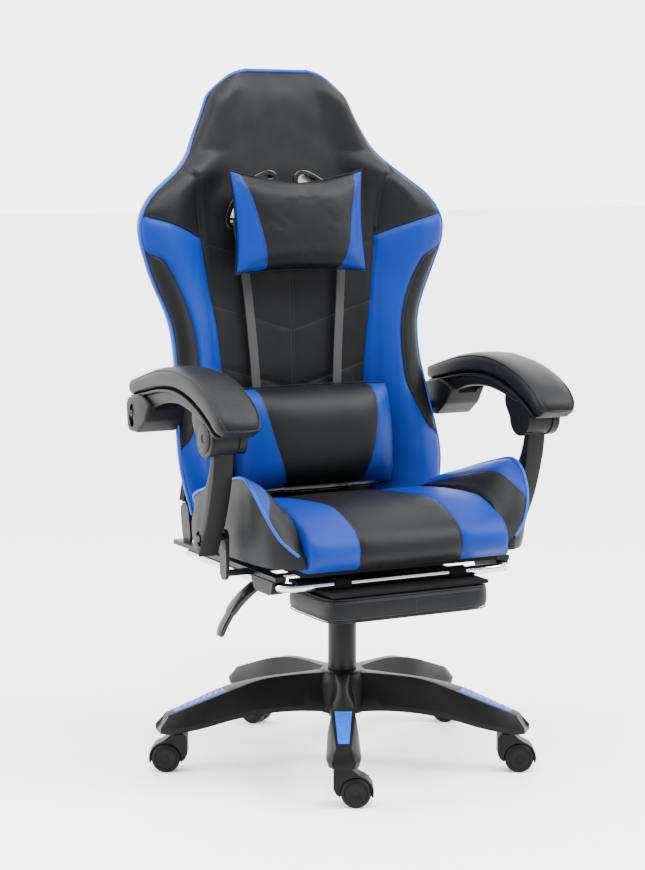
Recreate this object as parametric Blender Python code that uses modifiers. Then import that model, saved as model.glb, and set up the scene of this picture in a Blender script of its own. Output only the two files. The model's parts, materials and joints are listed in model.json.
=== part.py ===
"""Reclining gaming chair with linked armrests, a slide-out footrest and a five-star base.

The chair faces -Y, +Z is up and the sitter's left is +X.  Everything is in metres.
The shapes are worked out from the gas lift's axis; an empty then moves the whole chair so that
its origin is on the floor under the middle of its bounding box.
"""

import bpy
import bmesh
from math import atan2, cos, hypot, pi, radians, sin
from mathutils import Matrix, Vector

GAP = 0.0003                      # air left between touching pieces

LIFT_AXIS_Y = -0.0150             # where the gas lift stands in the finished chair's frame

# base
LEGS = 5
FRONT_LEG_ANGLE = radians(27.6)   # from -Y towards -X
HUB_TOP = 0.158
HUB_RADIUS = 0.046
LEG_TIP = 0.334
CASTER_RADIUS = 0.299             # caster stems from the gas lift axis
WHEEL_RADIUS = 0.025
WHEEL_WIDTH = 0.019
WEB_HALF = 0.0014                 # half thickness of the hood's wall between its two wheels
CASTER_TRAIL = 0.020              # stem axis to axle
CASTER_TURNS = (-28.0, 152.0, -62.0, -28.0, -28.0)   # trailing directions, degrees from +X
WHEEL_STEPS = 20                  # a flat facet of the tread rests on the floor

# gas lift and mechanism
LIFT_TUBE_RADIUS = 0.025
LIFT_TUBE_TOP = 0.305
PISTON_RADIUS = 0.014
PLATE_TOP = 0.3565

# seat
RAIL_X = 0.215                    # side rails and the footrest tubes under them
FRAME_TOP = 0.3725
SEAT_HALF = 0.190
PAN_TOP = 0.3832

# armrest linkage, all at (y, z): an exact parallelogram
RECLINE_PIVOT = (0.200, 0.425)
FOOT_PIVOT = (-0.095, 0.430)
ARM_PIVOT = (0.145, 0.598)
HUB_PIVOT = (-0.150, 0.603)
ARM_X = 0.300
STRUT_HALF = 0.0175
HUB_HALF = 0.032

# footrest
BAR_Y = -0.201
BAR_Z = 0.355
BAR_RADIUS = 0.008

# backrest outline at heights z: half width, and y of the piping, the centre panel and the rear
BACK_BOTTOM = 0.447
BACK_TOP = 1.208
HALF_WIDTH = ((0.44, 0.246), (0.52, 0.259), (0.62, 0.252), (0.70, 0.244), (0.77, 0.250), (0.86, 0.286),
              (0.93, 0.303), (0.98, 0.280), (1.03, 0.218), (1.06, 0.189), (1.12, 0.157), (1.17, 0.131),
              (1.20, 0.090), (1.21, 0.060))
PIPING_Y = ((0.44, 0.090), (0.52, 0.106), (0.61, 0.135), (0.70, 0.160), (0.82, 0.180), (0.93, 0.176),
            (1.02, 0.198), (1.08, 0.236), (1.17, 0.255), (1.21, 0.256))
CENTRE_Y = ((0.44, 0.150), (0.57, 0.181), (0.66, 0.189), (0.80, 0.197), (0.91, 0.2075), (1.05, 0.2255),
            (1.15, 0.240), (1.21, 0.256))
REAR_Y = ((0.44, 0.216), (0.57, 0.252), (0.66, 0.262), (0.80, 0.273), (0.91, 0.283), (1.05, 0.296),
          (1.15, 0.303), (1.21, 0.282))

# curved strap slots through the backrest, about one centre
SLOT_CENTRE_Z = 0.905
SLOT_INNER = 0.1015
SLOT_OUTER = 0.1215
SLOT_START = radians(13)
SLOT_END = radians(76)

COLLECTION = "gaming_chair"
BLACK_PLASTIC = ("black_plastic", (0.018, 0.019, 0.021), 0.45, 0.0)
GLOSS_PLASTIC = ("gloss_plastic", (0.014, 0.015, 0.016), 0.22, 0.0)
BLACK_STEEL = ("black_steel", (0.02, 0.02, 0.022), 0.4, 0.6)
STEEL = ("plated_steel", (0.55, 0.56, 0.58), 0.3, 1.0)
CHROME = ("chrome", (0.85, 0.86, 0.88), 0.06, 1.0)
TREAD = ("caster_nylon", (0.02, 0.021, 0.023), 0.5, 0.0)
BLACK_VINYL = ("black_vinyl", (0.028, 0.031, 0.036), 0.42, 0.0)
BLUE_VINYL = ("blue_vinyl", (0.006, 0.13, 0.60), 0.4, 0.0)
BLUE_PLASTIC = ("blue_plastic", (0.008, 0.20, 0.85), 0.35, 0.0)
WEBBING = ("elastic_webbing", (0.02, 0.02, 0.022), 0.9, 0.0)
BOARD = ("seat_board", (0.25, 0.17, 0.10), 0.7, 0.0)


# ---------------------------------------------------------------- helpers

def start_scene():
    for old in list(bpy.data.objects):
        bpy.data.objects.remove(old, do_unlink=True)
    parts = bpy.data.collections.new(COLLECTION)
    cutters = bpy.data.collections.new("cutters")
    for collection in (parts, cutters):
        bpy.context.scene.collection.children.link(collection)
    return parts, cutters


def material(look):
    name, colour, roughness, metallic = look
    found = bpy.data.materials.get(name)
    if found:
        return found
    made = bpy.data.materials.new(name)
    made.use_nodes = True
    shader = made.node_tree.nodes["Principled BSDF"]
    shader.inputs["Base Color"].default_value = (*colour, 1.0)
    shader.inputs["Roughness"].default_value = roughness
    shader.inputs["Metallic"].default_value = metallic
    made.diffuse_color = (*colour, 1.0)
    return made


def add_node(name, mesh, look, smooth=True):
    """Put a mesh into the chair as one named piece."""
    piece = bpy.data.objects.new(name, mesh)
    PARTS.objects.link(piece)
    mesh.name = name
    mesh.materials.clear()
    mesh.materials.append(material(look))
    if smooth:
        mesh.shade_smooth()
        mesh.set_sharp_from_angle(angle=radians(35))
    return piece


def add_cutter(mesh):
    cutter = bpy.data.objects.new("cutter", mesh)
    CUTTERS.objects.link(cutter)
    cutter.hide_render = True
    cutter.display_type = "WIRE"
    return cutter


def mesh_from(bm):
    bmesh.ops.recalc_face_normals(bm, faces=bm.faces)
    mesh = bpy.data.meshes.new("shape")
    bm.to_mesh(mesh)
    bm.free()
    return mesh


def box_mesh(low, high):
    """An axis-aligned box between two corners."""
    low, high = Vector(low), Vector(high)
    bm = bmesh.new()
    bmesh.ops.create_cube(bm, size=1.0)
    bmesh.ops.scale(bm, vec=high - low, verts=bm.verts)
    bmesh.ops.translate(bm, vec=(low + high) / 2, verts=bm.verts)
    return mesh_from(bm)


def rod_mesh(start, end, radius, segments=16, end_radius=None):
    """A straight round bar between two points."""
    start, end = Vector(start), Vector(end)
    bm = bmesh.new()
    bmesh.ops.create_cone(bm, cap_ends=True, segments=segments, radius1=radius,
                          radius2=radius if end_radius is None else end_radius, depth=(end - start).length)
    turn = (end - start).to_track_quat("Z", "Y").to_matrix().to_4x4()
    bmesh.ops.transform(bm, matrix=Matrix.Translation((start + end) / 2) @ turn, verts=bm.verts)
    return mesh_from(bm)


def evaluated_mesh(temporary):
    """The evaluated mesh of a temporary object in world space; the object is removed."""
    CUTTERS.objects.link(temporary)
    bpy.context.view_layer.update()
    graph = bpy.context.evaluated_depsgraph_get()
    mesh = bpy.data.meshes.new_from_object(temporary.evaluated_get(graph))
    mesh.transform(temporary.matrix_world)
    bpy.data.objects.remove(temporary, do_unlink=True)
    bm = bmesh.new()
    bm.from_mesh(mesh)
    bmesh.ops.remove_doubles(bm, verts=bm.verts, dist=0.00002)
    return mesh_from(bm)


def turned_mesh(profile, place=Matrix(), steps=24):
    """A (radius, height) profile, run top to bottom down its outer side, turned about Z."""
    mesh = bpy.data.meshes.new("profile")
    points = [(radius, 0.0, height) for radius, height in profile]
    edges = [(i, (i + 1) % len(points)) for i in range(len(points))]
    if profile[0][0] == 0.0 and profile[-1][0] == 0.0:
        edges.pop()
    mesh.from_pydata(points, edges, [])
    turned = bpy.data.objects.new("turned", mesh)
    screw = turned.modifiers.new("Screw", "SCREW")
    screw.steps = steps
    screw.render_steps = steps
    screw.use_merge_vertices = True
    screw.merge_threshold = 0.00005
    turned.matrix_world = place
    return evaluated_mesh(turned)


def tube_mesh(points, radius, sides=3):
    """A round tube along hand-placed points, with filled ends."""
    curve = bpy.data.curves.new("tube", "CURVE")
    curve.dimensions = "3D"
    spline = curve.splines.new("POLY")
    spline.points.add(len(points) - 1)
    for target, point in zip(spline.points, points):
        target.co = (*point, 1.0)
    curve.bevel_depth = radius
    curve.bevel_resolution = sides
    curve.use_fill_caps = True
    return evaluated_mesh(bpy.data.objects.new("tube", curve))


def plate_mesh(outlines, x_low, x_high):
    """Flat outlines in (y, z), the later ones holes, given a thickness along X."""
    curve = bpy.data.curves.new("plate", "CURVE")
    curve.dimensions = "2D"
    curve.fill_mode = "BOTH"
    curve.extrude = (x_high - x_low) / 2
    for outline in outlines:
        spline = curve.splines.new("POLY")
        spline.points.add(len(outline) - 1)
        spline.use_cyclic_u = True
        for target, (y, z) in zip(spline.points, outline):
            target.co = (y, z, 0.0, 1.0)
    plate = bpy.data.objects.new("plate", curve)
    turn = Matrix(((0, 0, 1), (1, 0, 0), (0, 1, 0))).to_4x4()
    plate.matrix_world = Matrix.Translation(((x_low + x_high) / 2, 0, 0)) @ turn
    return evaluated_mesh(plate)


def loft_mesh(rings):
    """A closed skin over rings of equal point counts, with both ends capped."""
    bm = bmesh.new()
    rows = [[bm.verts.new(point) for point in ring] for ring in rings]
    count = len(rings[0])
    for lower, upper in zip(rows, rows[1:]):
        for i in range(count):
            j = (i + 1) % count
            bm.faces.new((lower[i], lower[j], upper[j], upper[i]))
    bm.faces.new(rows[0])
    bm.faces.new(rows[-1])
    return mesh_from(bm)


def mirrored(mesh):
    """The same shape on the other side of the chair."""
    copy = mesh.copy()
    copy.transform(Matrix.Scale(-1.0, 4, (1, 0, 0)))
    copy.flip_normals()
    return copy


def combine(piece, mesh, operation):
    """Cut a mesh from a piece or join it on, and keep the result as the piece's own mesh."""
    cutter = add_cutter(mesh)
    boolean = piece.modifiers.new("Boolean", "BOOLEAN")
    boolean.operation = operation
    boolean.object = cutter
    bpy.context.view_layer.update()
    graph = bpy.context.evaluated_depsgraph_get()
    result = bpy.data.meshes.new_from_object(piece.evaluated_get(graph))
    piece.modifiers.remove(boolean)
    piece.data = result
    bpy.data.objects.remove(cutter, do_unlink=True)
    return piece


def cut(piece, mesh):
    return combine(piece, mesh, "DIFFERENCE")


def join(piece, mesh):
    return combine(piece, mesh, "UNION")


def bevel(piece, width, segments=1, angle=40):
    edges = piece.modifiers.new("Bevel", "BEVEL")
    edges.width = width
    edges.segments = segments
    edges.limit_method = "ANGLE"
    edges.angle_limit = radians(angle)
    return piece


def smooth_value(keys, at):
    """A smooth curve through (position, value) keys, read at one position."""
    last = len(keys) - 1
    i = 0
    while i < last - 1 and at > keys[i + 1][0]:
        i += 1
    slopes = []
    for k in (i, i + 1):
        before, after = keys[max(k - 1, 0)], keys[min(k + 1, last)]
        slopes.append((after[1] - before[1]) / (after[0] - before[0]))
    span = keys[i + 1][0] - keys[i][0]
    t = min(max((at - keys[i][0]) / span, 0.0), 1.0)
    start, end = keys[i][1], keys[i + 1][1]
    return ((2 * t ** 3 - 3 * t ** 2 + 1) * start + (t ** 3 - 2 * t ** 2 + t) * span * slopes[0]
            + (3 * t ** 2 - 2 * t ** 3) * end + (t ** 3 - t ** 2) * span * slopes[1])


def capsule(start, end, radius, steps=5):
    """The (y, z) outline of a bar with two round ends."""
    heading = atan2(end[1] - start[1], end[0] - start[0])
    points = []
    for centre, first in ((start, heading + pi / 2), (end, heading - pi / 2)):
        for i in range(steps + 1):
            angle = first + pi * i / steps
            points.append((centre[0] + radius * cos(angle), centre[1] + radius * sin(angle)))
    return points


def ellipse_section(centre, lean, half_width, half_height, power=3.2, count=12):
    """A rounded-box ring round a point of the armrest; lean is the path's slope in the YZ plane."""
    ring = []
    for i in range(count):
        angle = 2 * pi * (i + 0.5) / count
        across = half_width * (1 if cos(angle) > 0 else -1) * abs(cos(angle)) ** (2 / power)
        up = half_height * (1 if sin(angle) > 0 else -1) * abs(sin(angle)) ** (2 / power)
        ring.append((centre[0] + across, centre[1] - up * sin(lean), centre[2] + up * cos(lean)))
    return ring


def pillow_mesh(centre, half, roundness, squareness, rings=8, segments=16):
    """A soft closed form: a sphere squared off across its outline."""
    bm = bmesh.new()
    bmesh.ops.create_uvsphere(bm, u_segments=segments, v_segments=rings, radius=1.0)
    for vert in bm.verts:
        signs = [1 if value >= 0 else -1 for value in vert.co]
        across = abs(vert.co.x) ** squareness
        up = abs(vert.co.z) ** squareness
        deep = abs(vert.co.y) ** roundness
        vert.co = (centre[0] + signs[0] * across * half[0], centre[1] + signs[1] * deep * half[1],
                   centre[2] + signs[2] * up * half[2])
    return mesh_from(bm)


# ---------------------------------------------------------------- base

def leg_direction(index):
    angle = FRONT_LEG_ANGLE + 2 * pi * index / LEGS
    return Vector((-sin(angle), -cos(angle), 0.0))


def leg_frame(index):
    """World place of a leg whose length runs along local +X."""
    along = leg_direction(index)
    return Matrix.Rotation(atan2(along.y, along.x), 4, "Z")


def leg_mesh():
    """One leg along +X: narrow at the hub, flared over the caster, with a sloping nose."""
    # r of the top edge, r of the bottom edge, half width top, half width bottom, z top, z bottom
    stations = ((0.026, 0.026, 0.014, 0.024, 0.1560, 0.086), (0.090, 0.090, 0.0075, 0.020, 0.1545, 0.0915),
                (0.150, 0.150, 0.0085, 0.022, 0.1505, 0.0915), (0.208, 0.208, 0.0190, 0.026, 0.1380, 0.0860),
                (0.264, 0.264, 0.0170, 0.028, 0.1190, 0.0755), (0.314, 0.314, 0.0130, 0.0285, 0.1020, 0.0705),
                (0.318, LEG_TIP, 0.0120, 0.0195, 0.0990, 0.0705))
    rings = []
    for r_top, r_low, top_half, low_half, z_top, z_low in stations:
        knee = z_low + 0.010
        rings.append([(r_top, top_half, z_top), (r_low, low_half, knee), (r_low, low_half * 0.9, z_low),
                      (r_low, -low_half * 0.9, z_low), (r_low, -low_half, knee), (r_top, -top_half, z_top)])
    return loft_mesh(rings)


def insert_mesh(grow=0.0):
    """The tapered blue plate let into a leg's sloping top, along local +X."""
    start, end = Vector((0.216, 0, 0.1354)), Vector((0.306, 0, 0.1048))
    slope = (end - start).normalized()
    up = Vector((-slope.z, 0, slope.x))
    rings = []
    for lift in (-0.0025 - grow, 0.0006 + grow):
        ring = []
        for place, side in ((start, 1), (end, 1), (end, -1), (start, -1)):
            half = (0.0145 if place is start else 0.0092) + grow
            outward = -grow if place is start else grow
            ring.append(place + slope * outward + up * lift + Vector((0, side * half, 0)))
        rings.append(ring)
    return loft_mesh(rings)


def make_base():
    hub = turned_mesh(((0.0, HUB_TOP), (0.036, HUB_TOP), (0.0405, HUB_TOP - 0.004), (HUB_RADIUS, 0.135),
                       (HUB_RADIUS, 0.088), (0.042, 0.0835), (0.0, 0.0835)), steps=20)
    base = add_node("star_base", hub, BLACK_PLASTIC)
    for index in range(LEGS):
        leg = leg_mesh()
        leg.transform(leg_frame(index))
        join(base, leg)
    cut(base, rod_mesh((0, 0, 0.06), (0, 0, 0.18), LIFT_TUBE_RADIUS + GAP, segments=22))
    for index in range(LEGS):
        pocket = insert_mesh(grow=GAP)
        pocket.transform(leg_frame(index))
        cut(base, pocket)
        foot = leg_direction(index) * CASTER_RADIUS
        cut(base, rod_mesh((foot.x, foot.y, 0.06), (foot.x, foot.y, 0.096), 0.0058, segments=12))
        plate = insert_mesh()
        plate.transform(leg_frame(index))
        add_node(f"leg_insert_{index + 1}", plate, BLUE_PLASTIC, smooth=False)


def caster_frame(index):
    """World place of a caster: stem axis at the local origin, trailing along local +X."""
    foot = leg_direction(index) * CASTER_RADIUS
    return Matrix.Translation(foot) @ Matrix.Rotation(radians(CASTER_TURNS[index]), 4, "Z")


def hood_meshes():
    """The caster's body: a boss for the stem that runs on as a hood over the wheels, its wall and its axle."""
    outer, inner = WHEEL_RADIUS + 0.0045, WHEEL_RADIUS + 0.0015
    outline = [(CASTER_TRAIL + outer * cos(a), WHEEL_RADIUS + outer * sin(a))
               for a in (radians(d) for d in range(-15, 76, 15))]
    outline += [(0.0175, 0.0610), (0.0125, 0.0660), (-0.0130, 0.0660), (-0.0170, 0.0620), (-0.0170, 0.0320),
                (-0.0125, 0.0230)]
    outline += [(CASTER_TRAIL + inner * cos(a), WHEEL_RADIUS + inner * sin(a))
                for a in (radians(d) for d in range(195, -16, -15))]
    shell = plate_mesh([outline], -0.0175, 0.0175)
    wall = plate_mesh([[(CASTER_TRAIL + 0.0275 * cos(a), WHEEL_RADIUS + 0.0275 * sin(a))
                        for a in (radians(d) for d in range(-20, 201, 20))]], -WEB_HALF, WEB_HALF)
    turn = Matrix.Rotation(-pi / 2, 4, "Z")
    for mesh in (shell, wall):
        mesh.transform(turn)
    axle = rod_mesh((CASTER_TRAIL, -0.0170, WHEEL_RADIUS), (CASTER_TRAIL, 0.0170, WHEEL_RADIUS), 0.0038, segments=10)
    return shell, wall, axle


def make_casters():
    for index in range(LEGS):
        number = index + 1
        place = caster_frame(index)
        shell, wall, axle = hood_meshes()
        hood = add_node(f"caster_hood_{number}", shell, BLACK_PLASTIC)
        join(hood, wall)
        join(hood, axle)
        cut(hood, rod_mesh((0, 0, 0.047), (0, 0, 0.08), 0.0058, segments=12))
        hood.data.transform(place)
        stem = turned_mesh(((0.0, 0.0945), (0.0045, 0.0945), (0.0055, 0.0925), (0.0055, 0.0700), (0.0085, 0.0696),
                            (0.0085, 0.0665), (0.0055, 0.0663), (0.0055, 0.0475), (0.0, 0.0475)), steps=12)
        stem.transform(place)
        add_node(f"caster_stem_{number}", stem, STEEL)
        for side, name in ((-1, "right"), (1, "left")):
            inner, outer = WEB_HALF + 0.0006, WEB_HALF + 0.0006 + WHEEL_WIDTH
            tread = WHEEL_RADIUS / cos(pi / WHEEL_STEPS)
            wheel = turned_mesh(((0.0, outer + 0.0008), (0.018, outer), (0.0232, outer - 0.0012),
                                 (tread, outer - 0.004), (tread, inner + 0.002), (0.0235, inner),
                                 (0.0043, inner), (0.0043, outer - 0.002), (0.0, outer - 0.002)),
                                Matrix.Rotation(pi / WHEEL_STEPS, 4, "Z"), WHEEL_STEPS)
            stand = Matrix.Translation((CASTER_TRAIL, 0, WHEEL_RADIUS)) @ Matrix.Rotation(-side * pi / 2, 4, "X")
            wheel.transform(place @ stand)
            add_node(f"caster_wheel_{number}_{name}", wheel, TREAD)


# ---------------------------------------------------------------- gas lift, mechanism and levers

def make_lift():
    tube = turned_mesh(((PISTON_RADIUS + GAP, LIFT_TUBE_TOP), (0.023, LIFT_TUBE_TOP),
                        (LIFT_TUBE_RADIUS, LIFT_TUBE_TOP - 0.003), (LIFT_TUBE_RADIUS, 0.074),
                        (PISTON_RADIUS + GAP, 0.074)), steps=20)
    add_node("gas_lift_tube", tube, BLACK_STEEL)
    piston = turned_mesh(((0.0, 0.346), (0.0128, 0.346), (PISTON_RADIUS, 0.335), (PISTON_RADIUS, 0.100),
                          (0.0, 0.100)), steps=16)
    add_node("gas_lift_piston", piston, STEEL)


def make_mechanism():
    plate = add_node("mechanism_plate", box_mesh((-0.055, -0.060, 0.316), (0.055, 0.105, 0.3525)), BLACK_STEEL,
                     smooth=False)
    join(plate, box_mesh((-0.100, -0.064, 0.3515), (0.100, 0.120, PLATE_TOP)))
    cut(plate, rod_mesh((0, 0, 0.30), (0, 0, 0.3465), PISTON_RADIUS + GAP, segments=20))
    cut(plate, box_mesh((-0.070, -0.009, 0.322), (-0.030, 0.009, 0.348)))


def make_height_lever():
    """A bent rod out of the housing's side that carries a curved two-step paddle."""
    rod = tube_mesh(((-0.036, 0.0, 0.335), (-0.100, 0.0, 0.335), (-0.140, 0.0, 0.3335), (-0.166, 0.0, 0.322),
                     (-0.186, 0.0, 0.308)), 0.0040)
    add_node("lever_rod", rod, STEEL)
    # distance along the paddle: x, z, half width in y, half thickness
    stations = ((-0.150, 0.3315, 0.0085, 0.0062), (-0.156, 0.3290, 0.0110, 0.0085), (-0.176, 0.3180, 0.0125, 0.0085),
                (-0.200, 0.2990, 0.0130, 0.0080), (-0.216, 0.2800, 0.0125, 0.0075), (-0.218, 0.2770, 0.0110, 0.0062),
                (-0.230, 0.2580, 0.0112, 0.0058), (-0.236, 0.2440, 0.0100, 0.0048), (-0.238, 0.2395, 0.0070, 0.0030))
    rings = []
    for i, (x, z, half_width, half_thick) in enumerate(stations):
        before, after = stations[max(i - 1, 0)], stations[min(i + 1, len(stations) - 1)]
        lean = atan2(after[1] - before[1], after[0] - before[0])
        ring = []
        for k in range(10):
            angle = 2 * pi * (k + 0.5) / 10
            up = half_thick * sin(angle)
            side = half_width * (1 if cos(angle) > 0 else -1) * abs(cos(angle)) ** 0.6
            ring.append((x - up * sin(lean), side, z + up * cos(lean)))
        rings.append(ring)
    paddle = add_node("lever_paddle", loft_mesh(rings), GLOSS_PLASTIC)
    cut(paddle, tube_mesh(((-0.120, 0.0, 0.3345), (-0.140, 0.0, 0.3335), (-0.166, 0.0, 0.322),
                           (-0.1863, 0.0, 0.3078)), 0.0044))


# ---------------------------------------------------------------- seat

def make_seat_frame():
    """Two side rails, two cross members, and an outrigger each side that carries a strut's foot."""
    frame = add_node("seat_frame", box_mesh((-RAIL_X - 0.010, -0.190, 0.3645), (-RAIL_X + 0.010, 0.222, FRAME_TOP)),
                     BLACK_STEEL, smooth=False)
    join(frame, box_mesh((RAIL_X - 0.010, -0.190, 0.3645), (RAIL_X + 0.010, 0.222, FRAME_TOP)))
    for y in (-0.045, 0.090):
        join(frame, box_mesh((-RAIL_X + 0.0090, y - 0.014, PLATE_TOP + GAP),
                             (RAIL_X - 0.0090, y + 0.014, FRAME_TOP - 0.0005)))
    y, z = FOOT_PIVOT
    for side in (-1, 1):
        near, far = sorted((side * RAIL_X, side * 0.2745))
        join(frame, box_mesh((near, y - 0.013, 0.3655), (far, y + 0.013, FRAME_TOP - 0.001)))
        low, high = sorted((side * 0.2685, side * 0.2745))
        join(frame, plate_mesh([capsule((y, 0.370), (y, z), 0.0128)], low, high))
        join(frame, rod_mesh((side * 0.270, y, z), (side * 0.3195, y, z), 0.0060, segments=14))


def make_recliners():
    """The fixed brackets with the hinge pins that the backrest turns on."""
    y, z = RECLINE_PIVOT
    for side, name in ((-1, "right"), (1, "left")):
        low, high = sorted((side * 0.2070, side * 0.2130))
        outline = capsule((y, z), (y - 0.008, 0.384), 0.0175)
        bracket = add_node(f"recliner_{name}", plate_mesh([outline], low, high), BLACK_STEEL, smooth=False)
        cut(bracket, box_mesh((-0.3, 0.1, 0.34), (0.3, 0.3, FRAME_TOP + GAP)))
        join(bracket, rod_mesh((side * 0.2100, y, z), (side * 0.1960, y, z), 0.0060, segments=14))


def make_recline_lever():
    """A flat pull-up handle on the sitter's left, turning on the hinge pin's line."""
    y, z = RECLINE_PIVOT
    stations = ((0.206, 0.425, 0.0050, 0.0100), (0.190, 0.4245, 0.0050, 0.0130), (0.150, 0.4190, 0.0050, 0.0105),
                (0.100, 0.4140, 0.0060, 0.0100), (0.050, 0.4130, 0.0070, 0.0090), (0.030, 0.4120, 0.0060, 0.0070))
    rings = [ellipse_section((0.2675, py, pz), radians(4), half, tall, power=2.6, count=10)
             for py, pz, half, tall in stations]
    lever = add_node("recline_lever", loft_mesh(rings), GLOSS_PLASTIC)
    join(lever, rod_mesh((0.2155, y - 0.008, z), (0.2670, y - 0.008, z), 0.0050, segments=12))


def make_seat():
    pan = box_mesh((-0.184, -0.215, FRAME_TOP + GAP), (0.184, 0.132, PAN_TOP))
    add_node("seat_pan", pan, BOARD, smooth=False)
    side = ((-0.2350, 0.3836), (-0.2480, 0.4050), (-0.2400, 0.4300), (-0.2130, 0.4520), (-0.1750, 0.4720),
            (-0.1370, 0.4790), (-0.0500, 0.4740), (0.0350, 0.4650), (0.0620, 0.4570), (0.0700, 0.4410),
            (0.1250, 0.4390), (0.1330, 0.4300), (0.1330, 0.3836))
    mid = Vector((0, -0.05, 0.425))
    rings = []
    for x, scale in ((SEAT_HALF, 0.965), (SEAT_HALF - 0.012, 1.0), (0.0, 1.0), (-SEAT_HALF + 0.012, 1.0),
                     (-SEAT_HALF, 0.965)):
        ring = []
        for y, z in side:
            low = z < 0.3840
            ring.append((x, mid.y + (y - mid.y) * scale, z if low else mid.z + (z - mid.z) * scale))
        rings.append(ring)
    add_node("seat_cushion", loft_mesh(rings), BLACK_VINYL)


def make_wings():
    """The raised side bolsters, each a fin that peaks over the sitter's thigh."""
    # y: piping x and z, inner edge z, outer foot x
    stations = ((-0.2380, 0.2060, 0.4130, 0.4040, 0.2030), (-0.2250, 0.2330, 0.4400, 0.4200, 0.2230),
                (-0.2050, 0.2510, 0.4800, 0.4480, 0.2390), (-0.1750, 0.2590, 0.5170, 0.4700, 0.2470),
                (-0.1410, 0.2595, 0.5320, 0.4790, 0.2510), (-0.0800, 0.2595, 0.5200, 0.4800, 0.2530),
                (0.0000, 0.2590, 0.4980, 0.4720, 0.2530), (0.0550, 0.2570, 0.4800, 0.4640, 0.2520),
                (0.0680, 0.2520, 0.4650, 0.4560, 0.2470))
    rings = []
    for y, peak_x, peak_z, inner_z, foot_x in stations:
        inner = SEAT_HALF + 0.0015
        low = 0.3915
        rings.append([(inner, y, low), (foot_x, y, low), (foot_x + (peak_x - foot_x) * 0.75, y, (low + peak_z) / 2),
                      (peak_x, y, peak_z), (peak_x - 0.012, y, peak_z + 0.0015),
                      (inner + (peak_x - inner) * 0.35, y, inner_z + (peak_z - inner_z) * 0.30), (inner, y, inner_z)])
    left = loft_mesh(rings)
    add_node("seat_wing_right", mirrored(left), BLUE_VINYL)
    add_node("seat_wing_left", left, BLUE_VINYL)


# ---------------------------------------------------------------- footrest

def make_footrest():
    bend = 0.016
    half = [(RAIL_X, 0.170, BAR_Z), (RAIL_X, BAR_Y + bend, BAR_Z)]
    for step in range(1, 4):
        angle = pi / 2 * step / 4
        half.append((RAIL_X - bend + bend * cos(angle), BAR_Y + bend - bend * sin(angle), BAR_Z))
    half.append((RAIL_X - bend, BAR_Y, BAR_Z))
    other = [(-x, y, z) for x, y, z in reversed(half)]
    add_node("footrest_rail", tube_mesh(half + other, BAR_RADIUS, sides=4), CHROME)

    board = add_node("footrest_board", box_mesh((-0.148, -0.246, 0.3405), (0.148, -0.084, 0.3465)), BOARD,
                     smooth=False)
    for side in (-1, 1):
        low, high = sorted((side * 0.095, side * 0.125))
        join(board, rod_mesh((low, BAR_Y, BAR_Z), (high, BAR_Y, BAR_Z), 0.0112, segments=20))
    cut(board, rod_mesh((-0.14, BAR_Y, BAR_Z), (0.14, BAR_Y, BAR_Z), BAR_RADIUS + GAP, segments=20))
    pad = add_node("footrest_pad", box_mesh((-0.155, -0.252, 0.2975), (0.155, -0.078, 0.3402)), BLACK_VINYL)
    bevel(pad, 0.012, segments=2)

    for side, name in ((-1, "right"), (1, "left")):
        low, high = sorted((side * (RAIL_X - 0.012), side * (RAIL_X + 0.012)))
        outline = [(-0.184, 0.3642), (-0.178, 0.3440), (-0.170, 0.3405), (-0.122, 0.3405), (-0.113, 0.3440),
                   (-0.100, 0.3642)]
        guide = add_node(f"rail_guide_{name}", plate_mesh([outline], low, high), BLACK_PLASTIC, smooth=False)
        cut(guide, rod_mesh((side * RAIL_X, -0.3, BAR_Z), (side * RAIL_X, 0.0, BAR_Z), BAR_RADIUS + GAP, segments=20))


# ---------------------------------------------------------------- backrest

def back_ring(z, round_off=0.0):
    """One level of the backrest: bolsters at both sides, a flat centre, and a shallower rear."""
    wide = smooth_value(HALF_WIDTH, z)
    piping, centre, rear = (smooth_value(keys, z) for keys in (PIPING_Y, CENTRE_Y, REAR_Y))
    middle = (piping + rear) / 2
    crest = min(piping, centre) - 0.012
    half = [(1.0, piping + 0.004), (0.95, piping - 0.008), (0.83, crest), (0.59, centre), (0.20, centre)]
    behind = [(0.20, rear), (0.62, rear - 0.003), (0.88, rear - 0.018), (0.965, piping + 0.045)]
    front = [(-wide * u, y) for u, y in half] + [(wide * u, y) for u, y in reversed(half)]
    back = [(wide * u, y) for u, y in reversed(behind)] + [(-wide * u, y) for u, y in behind]
    return [(x * (1 - round_off), middle + (y - middle) * (1 - 2.2 * round_off), z) for x, y in front + back]


def frame_path(low):
    """The backrest's bent tube, one side up and the other down, with its ends at height low."""
    side = ((RAIL_X, 0.1960 + (0.4476 - low) * 0.36, low), (RAIL_X, 0.1700, 0.5200), (RAIL_X, 0.1510, 0.5980), (RAIL_X, 0.1720, 0.6900),
            (RAIL_X, 0.2100, 0.8000), (0.2080, 0.2300, 0.9000), (0.1760, 0.2430, 0.9900), (0.1350, 0.2570, 1.0550),
            (0.1080, 0.2640, 1.0950), (0.0800, 0.2660, 1.1080))
    return list(side) + [(-x, y, z) for x, y, z in reversed(side)]


def back_frame_meshes(grow=0.0):
    """The tube, the hinge plates and the stubs that the arms turn on, oversize by grow for the foam's cavity."""
    meshes = [tube_mesh(frame_path(0.4300 if grow else 0.4476), 0.010 + grow, sides=1)]
    y, z = RECLINE_PIVOT
    arm_y, arm_z = ARM_PIVOT
    for side in (-1, 1):
        low, high = sorted((side * (0.2000 - grow), side * (0.2064 + grow)))
        outline = capsule((y, z), (y - 0.009, z + 0.050), 0.0150 + grow, steps=6)
        meshes.append(plate_mesh([outline], low, high))
        reach = 0.2640 if grow else 0.3290
        meshes.append(rod_mesh((side * 0.210, arm_y, arm_z), (side * reach, arm_y, arm_z), 0.0080 + grow, 14))
    return meshes


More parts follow.
